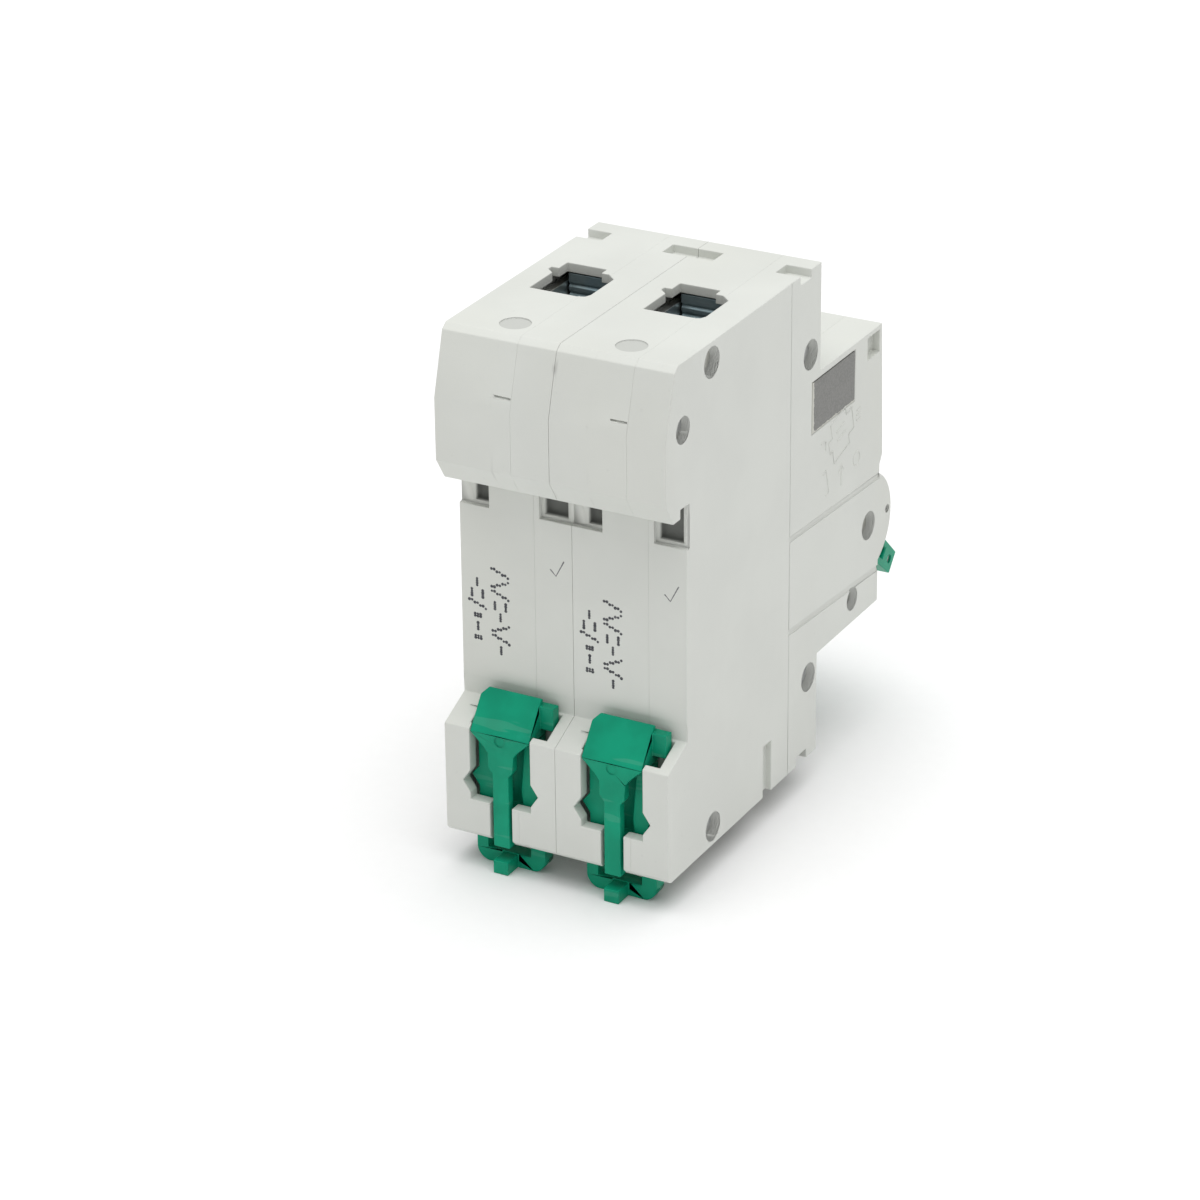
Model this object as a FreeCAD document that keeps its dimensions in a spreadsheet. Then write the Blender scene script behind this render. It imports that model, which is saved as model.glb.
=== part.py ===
"""Two-pole miniature circuit breaker for 35 mm rail, built as separate pieces (millimetres).

Frame: the origin is on the rail seat, on the rail's centre line and midway between the poles.
+Z is up, +Y points back towards the rail and the toggle faces -Y. Each piece of a pole is
drawn about its own pole's centre plane (x = 0) and its Placement moves it to that pole.
"""
import FreeCAD, Part
import math
import os

import Sketcher

doc = FreeCAD.newDocument("breaker")
sheet = doc.addObject("Spreadsheet::Sheet", "Sizes")

# alias, value in mm or degrees, meaning
SIZES = [
    ("pole_pitch", 18.0, "width of one module"),
    ("pole_gap", 0.04, "air between the two poles' cases"),
    ("seam_x", -3.0, "joint plane of base and cover, from the pole's centre"),
    ("wall", 1.5, "case wall"),
    ("back_wall", 2.5, "case wall behind the rail"),
    ("top_z", 39.6, "top of the case"),
    ("bottom_z", -37.8, "bottom of the case"),
    ("shoulder_y", -41.5, "front of the terminal shoulders"),
    ("nose_y", -62.3, "front of the nose"),
    ("nose_top", 23.0, "top of the nose"),
    ("nose_bottom", -22.0, "bottom of the nose"),
    ("nose_swell", 0.9, "how far the upper nose stands in front of the lower nose"),
    ("back_y", 6.1, "rear of the hook block"),
    ("back_low", 20.3, "lower end of the hook block's upright rear face"),
    ("back_high", 29.6, "upper end of the hook block's upright rear face"),
    ("hook_tip_z", 16.9, "lower tip of the fixed rail hook"),
    ("hook_in_y", 1.8, "inner face of the fixed rail hook"),
    ("hook_out_y", 3.9, "outer edge of the hook's tip"),
    ("hook_roof_z", 18.3, "roof of the slot that takes the rail's upper lip"),
    ("seat_relief", 0.04, "how far the rail seat stands proud of the recess"),
    ("seat_top", 16.5, "upper end of the rail seat"),
    ("seat_low", -15.2, "lower end of the rail seat"),
    ("foot_z", -17.9, "start of the foot's slope"),
    ("foot_y", 5.8, "rear face of the foot"),
    ("foot_crease_z", -20.5, "lower end of the foot's slope"),
    ("edge_cut", 0.7, "chamfer at the foot's lower rear edge"),
    ("toggle_y", -58.6, "toggle pivot"),
    ("toggle_z", -8.2, "toggle pivot"),
    ("bulge_r", 8.0, "radius of the rounded cheeks beside the toggle"),
    ("slot_half", 6.8, "half width of the toggle slot"),
    ("slot_r", 8.1, "radius cleared for the toggle drum"),
    ("drum_r", 7.3, "toggle drum"),
    ("drum_half", 6.6, "half width of the toggle drum"),
    ("lever_deg", 41.0, "how far the lever points down at rest, from straight ahead"),
    ("lever_r", 18.9, "tip of the lever from its pivot"),
    ("lever_root", 4.6, "lever thickness at the drum"),
    ("lever_tip", 3.6, "lever thickness at its tip"),
    ("link_r", 4.6, "link pin from the toggle pivot"),
    ("tie_r", 0.7, "handle tie pin radius"),
    ("tie_at", 17.1, "handle tie from the toggle pivot"),
    ("rivet_r", 1.25, "rivet shank"),
    ("rivet_head_r", 1.65, "rivet head"),
    ("rivet_head_len", 0.45, "rivet head thickness"),
    ("rivet_clear", 0.08, "radial clearance of the rivets"),
    ("sink_depth", 1.6, "depth of the rivet recesses"),
    ("boss_r", 2.5, "bosses round the rivets"),
    ("collar_r", 3.0, "collar behind each rivet recess"),
    ("collar_len", 0.65, "length of the collar"),
    ("entry_back", -14.0, "rear edge of the wire entries"),
    ("entry_mid", -22.0, "step of the wire entries"),
    ("entry_front", -25.0, "front edge of the wire entries"),
    ("entry_left", -4.0, "wire entry side"),
    ("entry_right", 5.0, "wire entry side"),
    ("screw_x", 0.45, "terminal screws, from the pole's centre"),
    ("screw_top_z", 33.2, "upper terminal screw"),
    ("screw_low_z", -31.3, "lower terminal screw"),
    ("screw_r", 2.2, "terminal screw shank"),
    ("screw_head_r", 2.9, "terminal screw head"),
    ("screw_head_len", 2.0, "terminal screw head length"),
    ("screw_front", -41.1, "front of the screw heads"),
    ("torsion_r", 3.2, "mean radius of the toggle spring"),
    ("torsion_wire", 0.5, "wire of the toggle spring"),
    ("torsion_pitch", 0.62, "distance between the toggle spring's turns"),
    ("screw_hole_r", 3.15, "screwdriver holes"),
    ("fit", 0.05, "radial running clearance"),
    ("tongue_back", -25.2, "serrated face of the terminal tongues"),
    ("ridge_first", 3.0, "from the screw's centre to the first groove of the serrations"),
    ("ridge_step", 1.3, "distance between the serrations"),
    ("ridge_half", 0.42, "half width of one groove of the serrations"),
    ("ridge_deep", 0.35, "depth of the serrations"),
    ("side_line_y", -32.0, "upright line on the case's sides"),
    ("side_line_wide", 0.2, "width of that line"),
    ("side_line_deep", 0.06, "depth of that line"),
    ("tongue_thick", 1.8, "terminal tongue thickness"),
    ("tongue_left", -4.1, "terminal tongue side"),
    ("tongue_right", 5.0, "terminal tongue side"),
    ("cage_left", -5.6, "clamp cage side"),
    ("cage_right", 6.5, "clamp cage side"),
    ("cage_front", -29.6, "front of the clamp cage when open"),
    ("cage_back", -13.0, "rear of the clamp cage when open"),
    ("cage_half", 3.5, "half height of the clamp cages"),
    ("cage_wall", 1.3, "clamp cage wall"),
    ("arm_y", -38.5, "contact arm pivot"),
    ("arm_z", -6.0, "contact arm pivot"),
    ("arm_len", 13.6, "contact arm from its pivot"),
    ("arm_thick", 2.0, "contact arm thickness"),
    ("arm_open", 20.0, "how far the contact arm stands open at rest, degrees"),
    ("arm_half", 1.0, "half width of the contact arm"),
    ("pin_r", 1.2, "pivot pins of the contact arms"),
    ("trip_y", -43.0, "trip bar"),
    ("trip_z", 4.0, "trip bar"),
    ("trip_r", 1.3, "trip bar radius"),
    ("coil_z", 13.5, "axis of the trip coil"),
    ("coil_r", 4.4, "mean radius of the trip coil"),
    ("coil_wire", 1.5, "trip coil wire diameter"),
    ("coil_pitch", 2.4, "trip coil pitch"),
    ("coil_turns", 6.0, "trip coil turns"),
    ("coil_front", -29.4, "front end of the trip coil"),
    ("yoke_front", -32.2, "front of the coil frame"),
    ("yoke_back", -11.8, "rear of the coil frame"),
    ("yoke_thick", 1.2, "coil frame sheet"),
    ("yoke_half", 4.8, "half width of the coil frame"),
    ("yoke_top", 20.6, "top of the coil frame"),
    ("yoke_low", 8.0, "bottom of the coil frame"),
    ("plunger_r", 2.6, "plunger"),
    ("plunger_front", -26.0, "front of the plunger at rest"),
    ("plunger_len", 10.5, "plunger length"),
    ("push_r", 0.8, "push pin of the plunger"),
    ("push_front", -34.0, "front of the push pin at rest"),
    ("chute_front", -21.0, "front of the arc chute"),
    ("chute_back", -4.0, "rear of the arc chute"),
    ("chute_low", -16.0, "lowest arc plate"),
    ("chute_step", 1.7, "spacing of the arc plates"),
    ("plate_thick", 0.8, "arc plate"),
    ("plate_half", 5.4, "half width of an arc plate"),
    ("bimetal_front", -50.0, "front of the bimetal strip"),
    ("bimetal_top", 3.0, "upper end of the bimetal strip"),
    ("rail_strip_z", -19.8, "underside of the lower connecting strip"),
    ("clip_half", 4.75, "half width of the rail clip's head"),
    ("clip_top", -15.6, "upper edge of the rail clip"),
    ("clip_in", 1.3, "front face of the clip's head, behind the rail's lip"),
    ("clip_plate_in", 0.6, "front face of the clip's plate"),
    ("clip_plate_out", 2.4, "rear face of the clip's plate"),
    ("stem_in", 4.3, "front face of the clip's stem"),
    ("stem_half", 1.3, "half width of the clip's stem"),
    ("stem_low", -38.5, "lower end of the clip's stem"),
    ("ring_low", -42.8, "lower edge of the clip's ring"),
    ("ring_half", 5.6, "half width of the clip's ring"),
    ("chamber_half", 7.2, "half width of the clip's chamber"),
    ("chamber_in", 0.3, "front of the clip's chamber"),
    ("chamber_out", 3.9, "rear of the clip's chamber"),
    ("window_half", 4.9, "half width of the clip's window"),
    ("ledge_z", -31.8, "ledges under the clip's window"),
    ("slot_x", 1.8, "half width of the slot for the clip's stem"),
    ("notch_z", -29.0, "tips of the detent notches"),
    ("label_front", -53.2, "front edge of the side label"),
    ("label_back", -38.8, "rear edge of the side label"),
    ("label_top", 22.0, "top edge of the side label"),
    ("label_low", 13.9, "lower edge of the side label"),
    ("label_thick", 0.3, "depth of the label's recess"),
]

VALUES = {}
for row, (alias, value, meaning) in enumerate(SIZES, start=1):
    sheet.set("A%d" % row, meaning)
    sheet.set("B%d" % row, repr(value))
    sheet.setAlias("B%d" % row, alias)
    VALUES[alias] = value
doc.recompute()


class Size:
    """A length that knows both its value and the sheet expression it comes from."""

    def __init__(self, value, text=None):
        self.value = float(value)
        self.text = text if text is not None else repr(float(value))

    def _join(self, other, sign, value):
        return Size(value, "(%s %s %s)" % (self.text, sign, other.text))

    def __add__(self, other):
        other = size(other)
        return self._join(other, "+", self.value + other.value)

    def __sub__(self, other):
        other = size(other)
        return self._join(other, "-", self.value - other.value)

    def __mul__(self, other):
        other = size(other)
        return self._join(other, "*", self.value * other.value)

    def __truediv__(self, other):
        other = size(other)
        return self._join(other, "/", self.value / other.value)

    def __radd__(self, other):
        return size(other) + self

    def __rsub__(self, other):
        return size(other) - self

    def __rmul__(self, other):
        return size(other) * self

    def __neg__(self):
        return Size(-self.value, "(0 - %s)" % self.text)


def size(item):
    """Turn a number, an alias or a Size into a Size."""
    if isinstance(item, Size):
        return item
    if isinstance(item, str):
        return Size(VALUES[item], "Sizes.%s" % item)
    return Size(item)


def bind(thing, prop, item):
    """Give a property its value from the sheet."""
    item = size(item)
    thing.setExpression(prop, item.text)


def disc(across, up, radius):
    """A round loop of a sketch."""
    return ("disc", size(across), size(up), size(radius))


def rect(left, right, low, high):
    """A rectangular loop of a sketch."""
    return [(left, low), (right, low), (right, high), (left, high)]


def draw(sketch, loops):
    """Fill a sketch with closed loops whose corners are all placed by expressions."""
    count = 0

    def place(geo, point, axis, item):
        nonlocal count
        item = size(item)
        kind = "DistanceX" if axis == 0 else "DistanceY"
        name = "at%d" % count
        count += 1
        index = sketch.addConstraint(Sketcher.Constraint(kind, -1, 1, geo, point, item.value))
        sketch.renameConstraint(index, name)
        sketch.setExpression("Constraints.%s" % name, item.text)

    for loop in loops:
        if isinstance(loop, tuple):
            _, across, up, radius = loop
            centre = FreeCAD.Vector(across.value, up.value, 0)
            geo = sketch.addGeometry(Part.Circle(centre, FreeCAD.Vector(0, 0, 1), radius.value))
            place(geo, 3, 0, across)
            place(geo, 3, 1, up)
            index = sketch.addConstraint(Sketcher.Constraint("Radius", geo, radius.value))
            name = "radius%d" % geo
            sketch.renameConstraint(index, name)
            sketch.setExpression("Constraints.%s" % name, radius.text)
            continue
        corners = [(size(a), size(b)) for a, b in loop]
        spots = [FreeCAD.Vector(a.value, b.value, 0) for a, b in corners]
        lines = []
        for start, end in zip(spots, spots[1:] + spots[:1]):
            lines.append(sketch.addGeometry(Part.LineSegment(start, end)))
        for line, following in zip(lines, lines[1:] + lines[:1]):
            sketch.addConstraint(Sketcher.Constraint("Coincident", line, 2, following, 1))
        for line, (across, up) in zip(lines, corners):
            place(line, 1, 0, across)
            place(line, 1, 1, up)


PLANES = {"x": "YZ_Plane", "y": "XZ_Plane", "z": "XY_Plane"}
TURNS = {
    "x": FreeCAD.Rotation(FreeCAD.Vector(1, 1, 1), 120),
    "y": FreeCAD.Rotation(FreeCAD.Vector(1, 0, 0), 90),
    "z": FreeCAD.Rotation(),
}


class Moulding:
    """A PartDesign body built up from pads and pockets across one of the three planes.

    Outlines hold (y, z) when they run along x, (x, z) along y and (x, y) along z.
    """

    def __init__(self, name):
        self.body = doc.addObject("PartDesign::Body", name)
        self.count = 0

    def _sketch(self, along, loops, low, high):
        self.count += 1
        sketch = self.body.newObject("Sketcher::SketchObject", "%s_s%d" % (self.body.Name, self.count))
        plane = [f for f in self.body.Origin.OriginFeatures if f.Role == PLANES[along]][0]
        sketch.AttachmentSupport = (plane, [""])
        sketch.MapMode = "FlatFace"
        # the plane across y faces -Y, so its sketches start at the high end
        start = -size(high) if along == "y" else size(low)
        sketch.AttachmentOffset = FreeCAD.Placement(FreeCAD.Vector(0, 0, start.value), FreeCAD.Rotation())
        bind(sketch, "AttachmentOffset.Base.z", start)
        draw(sketch, loops)
        return sketch

    def _feature(self, kind, along, loops, low, high):
        sketch = self._sketch(along, loops, low, high)
        feature = self.body.newObject(kind, "%s_f%d" % (self.body.Name, self.count))
        feature.Profile = sketch
        length = size(high) - size(low)
        feature.Length = length.value
        bind(feature, "Length", length)
        return feature

    def pad(self, along, loops, low, high):
        """Add material between two places along an axis."""
        self._feature("PartDesign::Pad", along, loops, low, high)
        doc.recompute()

    def cut(self, along, loops, low, high):
        """Take material away between two places along an axis."""
        before = self.body.Shape.Volume
        pocket = self._feature("PartDesign::Pocket", along, loops, low, high)
        pocket.Reversed = True
        doc.recompute()
        if not self.body.Shape.Volume < before - 1e-4:
            raise RuntimeError("%s cuts nothing" % pocket.Name)

    def round(self, radius, test):
        """Round the edges whose middle point passes a test."""
        tip = self.body.Tip
        names = []
        for index, edge in enumerate(tip.Shape.Edges, start=1):
            middle = edge.valueAt((edge.FirstParameter + edge.LastParameter) / 2)
            if test(edge, middle):
                names.append("Edge%d" % index)
        self.count += 1
        fillet = self.body.newObject("PartDesign::Fillet", "%s_r%d" % (self.body.Name, self.count))
        fillet.Base = (tip, names)
        fillet.Radius = radius
        doc.recompute()


nodes = []


def keep(thing, name, across=0.0):
    """Label a finished sub-part and place it at its pole."""
    thing.Label = name
    thing.Placement = FreeCAD.Placement(FreeCAD.Vector(size(across).value, 0, 0), FreeCAD.Rotation())
    bind(thing, "Placement.Base.x", across)
    nodes.append(thing)
    return thing


def block(name, x0, x1, y0, y1, z0, z1):
    """A box between two corners."""
    item = doc.addObject("Part::Box", name)
    for prop, low, high in (("Length", x0, x1), ("Width", y0, y1), ("Height", z0, z1)):
        bind(item, prop, size(high) - size(low))
    for axis, low in (("x", x0), ("y", y0), ("z", z0)):
        bind(item, "Placement.Base.%s" % axis, low)
    return item


AXES = {"x": FreeCAD.Vector(1, 0, 0), "y": FreeCAD.Vector(0, 1, 0), "z": FreeCAD.Vector(0, 0, 1)}


def rod(name, along, low, high, first, second, radius):
    """A cylinder along an axis; first and second are its place on the other two axes, in order."""
    item = doc.addObject("Part::Cylinder", name)
    turn = FreeCAD.Rotation(AXES["z"], AXES[along])
    item.Placement = FreeCAD.Placement(FreeCAD.Vector(), turn)
    bind(item, "Radius", radius)
    bind(item, "Height", size(high) - size(low))
    others = [axis for axis in "xyz" if axis != along]
    bind(item, "Placement.Base.%s" % along, low)
    bind(item, "Placement.Base.%s" % others[0], first)
    bind(item, "Placement.Base.%s" % others[1], second)
    return item


def prism(name, along, loop, low, high):
    """An outline pushed along an axis, as a sketch and its extrusion."""
    sketch = doc.addObject("Sketcher::SketchObject", name + "_s")
    sketch.Placement = FreeCAD.Placement(FreeCAD.Vector(), TURNS[along])
    bind(sketch, "Placement.Base.%s" % along, high if along == "y" else low)
    draw(sketch, [loop])
    item = doc.addObject("Part::Extrusion", name)
    item.Base = sketch
    item.DirMode = "Normal"
    item.Solid = True
    bind(item, "LengthFwd", size(high) - size(low))
    return item


def fuse(name, items):
    """One solid from several."""
    item = doc.addObject("Part::MultiFuse", name)
    item.Shapes = items
    item.Refine = True
    return item


def cut(name, base, tools):
    """A solid less several others."""
    tool = tools[0]
    if len(tools) > 1:
        tool = doc.addObject("Part::Compound", name + "_t")
        tool.Links = tools
    item = doc.addObject("Part::Cut", name)
    item.Base = base
    item.Tool = tool
    return item


def group(name, items):
    """Several like solids kept as one sub-part."""
    item = doc.addObject("Part::Compound", name)
    item.Links = items
    return item


def free(name, shape):
    """A shape that only a sweep gives."""
    item = doc.addObject("Part::Feature", name)
    item.Shape = shape
    return item


def swept(points, radius):
    """A round wire along a line of points whose corners are rounded by the wire's own bend."""
    spots = [FreeCAD.Vector(*p) for p in points]
    bend = 1.6 * radius
    edges = []
    here = spots[0]
    for before, corner, after in zip(spots, spots[1:], spots[2:]):
        inward = (before - corner).normalize()
        onward = (after - corner).normalize()
        half = inward.getAngle(onward) / 2
        reach = bend / math.tan(half)
        start = corner + inward * reach
        end = corner + onward * reach
        middle_way = (inward + onward).normalize()
        middle = corner + middle_way * (bend / math.sin(half) - bend)
        edges.append(Part.LineSegment(here, start).toShape())
        edges.append(Part.Arc(start, middle, end).toShape())
        here = end
    edges.append(Part.LineSegment(here, spots[-1]).toShape())
    path = Part.Wire(edges)
    way = (spots[1] - spots[0]).normalize()
    profile = Part.Wire([Part.Circle(spots[0], way, radius).toShape()])
    return path.makePipeShell([profile], True, True)


def coiled(radius, wire, pitch, turns, spot, along="z"):
    """A round wire coiled along an axis from a starting point on that axis."""
    helix = Part.makeHelix(pitch, pitch * turns, radius)
    helix.Placement = FreeCAD.Placement(FreeCAD.Vector(*spot), FreeCAD.Rotation(AXES["z"], AXES[along]))
    first = helix.Edges[0]
    start = first.valueAt(first.FirstParameter)
    way = first.tangentAt(first.FirstParameter)
    profile = Part.Wire([Part.Circle(start, way, wire / 2).toShape()])
    return Part.Wire(helix.Edges).makePipeShell([profile], True, True)


half_pole = (size("pole_pitch") - size("pole_gap")) / 2
outer = half_pole
inner = half_pole - size("wall")

# rivets that hold the cases together, as (y, z, recess radius); the fourth is the toggle's shaft
RIVETS = [
    (-7.4, 36.6, 2.3),
    (1.1, 29.8, 2.0),
    (-38.2, 26.6, 2.3),
    ("toggle_y", "toggle_z", 2.25),
    (-53.3, -18.1, 1.8),
    (-38.5, -24.6, 2.25),
    (-7.9, -34.9, 2.25),
]


def case_outline():
    """The case seen from its side, without the rounded cheeks."""
    nose_low = size("toggle_z") + size("bulge_r")
    return [
        ("shoulder_y", "top_z"),
        ("shoulder_y", "nose_top"),
        ("nose_y", "nose_top"),
        (size("nose_y") - size("nose_swell"), nose_low + 2.0),
        ("nose_y", nose_low + 0.6),
        ("nose_y", "nose_bottom"),
        ("shoulder_y", "nose_bottom"),
        ("shoulder_y", "bottom_z"),
        (size("foot_y") - size("edge_cut"), "bottom_z"),
        ("foot_y", size("bottom_z") + size("edge_cut")),
        ("foot_y", "foot_crease_z"),
        (-size("seat_relief"), "foot_z"),
        (-size("seat_relief"), "seat_low"),
        (0.0, "seat_low"),
        (0.0, "seat_top"),
        (-size("seat_relief"), "seat_top"),
        (-size("seat_relief"), "hook_roof_z"),
        ("hook_in_y", "hook_roof_z"),
        ("hook_in_y", "hook_tip_z"),
        ("hook_out_y", "hook_tip_z"),
        ("back_y", "back_low"),
        ("back_y", "back_high"),
        (3.5, size("top_z") - 0.8),
        (2.4, "top_z"),
    ]


def room_outline():
    """The hollow inside the case, seen from its side."""
    wall = size("wall")
    floor_y = -size("back_wall")
    return [
        (size("shoulder_y") + wall, size("top_z") - wall),
        (size("shoulder_y") + wall, size("nose_top") - wall),
        (size("nose_y") + wall, size("nose_top") - wall),
        (size("nose_y") + wall, size("nose_bottom") + wall),
        (size("shoulder_y") + wall, size("nose_bottom") + wall),
        (size("shoulder_y") + wall, size("bottom_z") + wall),
        (floor_y, size("bottom_z") + wall),
        (floor_y, size("hook_roof_z") + wall),
        (3.2, size("hook_roof_z") + wall),
        (size("back_y") - wall, size("back_low") + 0.6),
        (size("back_y") - wall, size("back_high") - 0.3),
        (2.0, size("top_z") - wall),
    ]


def entry_outline():
    """A wire entry seen from above, with its step and its two side flares."""
    return [
        ("entry_left", size("entry_back") - 1.3),
        (size("entry_left") + 0.4, size("entry_back") - 0.4),
        (size("entry_left") + 1.3, "entry_back"),
        ("entry_right", "entry_back"),
        ("entry_right", size("entry_mid") + 1.4),
        (size("entry_right") + 1.2, size("entry_mid") + 0.4),
        (size("entry_right") + 1.2, size("entry_mid") - 0.5),
        ("entry_right", size("entry_mid") - 0.5),
        ("entry_right", "entry_front"),
        (-1.3, "entry_front"),
        (-1.3, size("entry_mid") - 1.4),
        (-2.5, size("entry_mid") - 1.4),
        ("entry_left", "entry_mid"),
    ]


def shell(name, low, high, face, pole):
    """One moulded half of a pole's case, between two planes along x.

    face is the x of its outer side and pole its pole's sign, +1 or -1.
    """
    side = 1 if face.value > 0 else -1
    part = Moulding(name)
    part.pad("x", [case_outline()], low, high)
    part.pad("x", [disc("toggle_y", "toggle_z", "bulge_r")], low, high)
    room = (low, inner) if side > 0 else (-inner, high)
    part.cut("x", [room_outline()], *room)
    # bosses carry the rivets from the side wall to the joint plane
    bosses = [disc(y, z, "boss_r") for y, z, _ in RIVETS if y != "toggle_y"]
    part.pad("x", bosses, *room)
    collar = (inner - size("collar_len"), inner) if side > 0 else (-inner, size("collar_len") - inner)
    part.pad("x", [disc(y, z, "collar_r") for y, z, _ in RIVETS], *collar)
    # the toggle's drum turns between the rounded cheeks
    slot = (low, "slot_half") if side > 0 else (-size("slot_half"), high)
    part.cut("x", [disc("toggle_y", "toggle_z", "slot_r")], *slot)
    hole = size("rivet_r") + size("rivet_clear")
    part.cut("x", [disc(y, z, hole) for y, z, _ in RIVETS], low, high)
    sink = (face - size("sink_depth"), face) if side > 0 else (face, face + size("sink_depth"))
    part.cut("x", [disc(y, z, radius) for y, z, radius in RIVETS], *sink)
    # wire entries through the top and the bottom, and the holes to their screws
    wall = size("wall")
    part.cut("z", [clipped(entry_outline(), low, high)], size("top_z") - wall - 0.1, size("top_z") + 0.1)
    mouth = clipped(entry_outline(), low, high)
    part.cut("z", [mouth], size("bottom_z") - 0.1, size("bottom_z") + wall + 0.1)
    if side > 0:
        holes = [disc("screw_x", level, "screw_hole_r") for level in ("screw_top_z", "screw_low_z")]
        part.cut("y", holes, size("shoulder_y") - 0.1, size("shoulder_y") + wall + 0.1)
        # an ejector mark on the top and a short moulded dash on the rear slope
        part.cut("z", [disc(0.0, -1.2, 2.25)], size("top_z") - 0.2, size("top_z") + 0.1)
        part.cut("y", [rect(-2.9, -0.3, 31.2, 31.5)], size("back_y") - 0.8, size("back_y") + 0.1)
    clip_room(part, low, high)
    rail_pockets(part, side)
    bar_notches(part, side)
    if side == pole:
        side_marks(part, side, face)
    else:
        # the common trip bar passes from pole to pole
        tunnel = (inner - 0.1, face + 0.1) if side > 0 else (face - 0.1, 0.1 - inner)
        part.cut("x", [disc("trip_y", "trip_z", size("trip_r") + 0.35)], *tunnel)
    return keep(part.body, name, size("pole_pitch") / 2 * pole)


def clipped(outline, low, high):
    """The part of an outline between two planes along x."""
    low, high = size(low), size(high)
    kept = []
    pairs = [(size(a), size(b)) for a, b in outline]
    for (ax, ay), (bx, by) in zip(pairs, pairs[1:] + pairs[:1]):
        inside_a = low.value <= ax.value <= high.value
        inside_b = low.value <= bx.value <= high.value
        if inside_a:
            kept.append((ax, ay))
        if inside_a != inside_b:
            edge = low if min(ax.value, bx.value) < low.value else high
            kept.append((edge, ay + (by - ay) * ((edge - ax) / (bx - ax))))
    return kept


def clip_room(part, low, high):
    """Room for the sliding rail clip: its chamber, window, stem slot and detent notches."""
    base = size(high).value > 0
    reach = 0.1
    chamber = size("chamber_half")
    ends = (low, chamber) if base else (-chamber, high)
    crest = size("foot_crease_z")
    floor_z = size("bottom_z") - reach
    inside = (size("chamber_in"), size("chamber_out"))
    part.cut("y", [rect(*ends, floor_z, crest)], *inside)
    mouth = (low, 5.2) if base else (-chamber, high)
    part.cut("y", [rect(*mouth, crest - reach, size("seat_low") - 0.6)], inside[0], size("foot_y") - 1.0)
    window = (low, "window_half") if base else (-size("window_half"), high)
    through = (size("chamber_out") - reach, size("foot_y") + reach)
    part.cut("y", [rect(*window, "ledge_z", size("seat_low") - 0.6)], *through)
    side = 1 if base else -1
    edge = size("window_half") * side
    notch = [
        (edge - 0.5 * side, size("notch_z") + 2.5),
        (edge + 1.2 * side, "notch_z"),
        (edge - 0.5 * side, size("notch_z") - 2.5),
    ]
    part.cut("y", [notch], *through)
    if base:
        part.cut("y", [rect(-size("slot_x"), "slot_x", floor_z, size("ledge_z") + reach)], *through)
        part.cut("y", [rect(5.1, 6.8, -19.0, -17.3)], size("chamber_out") - 2.0, size("foot_y"))


def rail_pockets(part, side):
    """The set-back corner and the blind window at the top of the rail recess."""
    if side > 0:
        rim, window = (size(4.2), outer + 0.1), (4.5, 6.7)
    else:
        rim, window = (-outer - 0.1, size(-3.9)), (-8.1, -4.4)
    part.cut("y", [rect(*rim, 11.6, "hook_roof_z")], -0.8, 0.1)
    part.cut("y", [rect(*window, 12.1, "hook_roof_z")], -2.0, -0.7)


def bar_notches(part, side):
    """Notches across the front edges for a comb bar and for the neighbouring device's clips."""
    ends = (size(5.0), outer + 0.1) if side > 0 else (-outer - 0.1, -5.0)
    across = [rect(*ends, -38.2, -34.8)]
    part.cut("z", across, size("top_z") - 1.3, size("top_z") + 0.1)
    part.cut("z", across, size("bottom_z") - 0.1, size("bottom_z") + 1.5)


def side_marks(part, side, face):
    """Shallow steps, grooves, pocket and label recess on an outward side."""

    def sunk(depth):
        if side > 0:
            return face - depth, face + 0.1
        return face - 0.1, face + depth

    step_y = size("side_line_y")
    line = rect(step_y, step_y + size("side_line_wide"), size("bottom_z") - 0.1, size("top_z") + 0.1)
    part.cut("x", [line], *sunk(size("side_line_deep")))
    for start, end in ((0.6, -1.0), (-14.2, -16.2)):
        band = [
            (step_y, start),
            (step_y, start - 0.9),
            ("nose_y", end - 0.9),
            ("nose_y", end),
        ]
        part.cut("x", [band], *sunk(0.25))
    part.cut("x", [rect(-26.5, -23.9, size("bottom_z") - 0.1, -29.6)], *sunk(1.0))
    part.cut("x", [rect(-61.5, -57.4, 18.7, 22.2)], *sunk(1.3))
    part.cut("x", [disc(-65.2, -8.0, 0.65)], *sunk(2.0))
    if side < 0:
        part.cut("x", [rect("label_front", "label_back", "label_low", "label_top")], *sunk("label_thick"))


def pole_shells(pole, tag):
    """The base and the cover of one pole."""
    shell("base_shell_" + tag, size("seam_x"), outer, outer, pole)
    shell("cover_shell_" + tag, -outer, size("seam_x"), -outer, pole)


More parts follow.
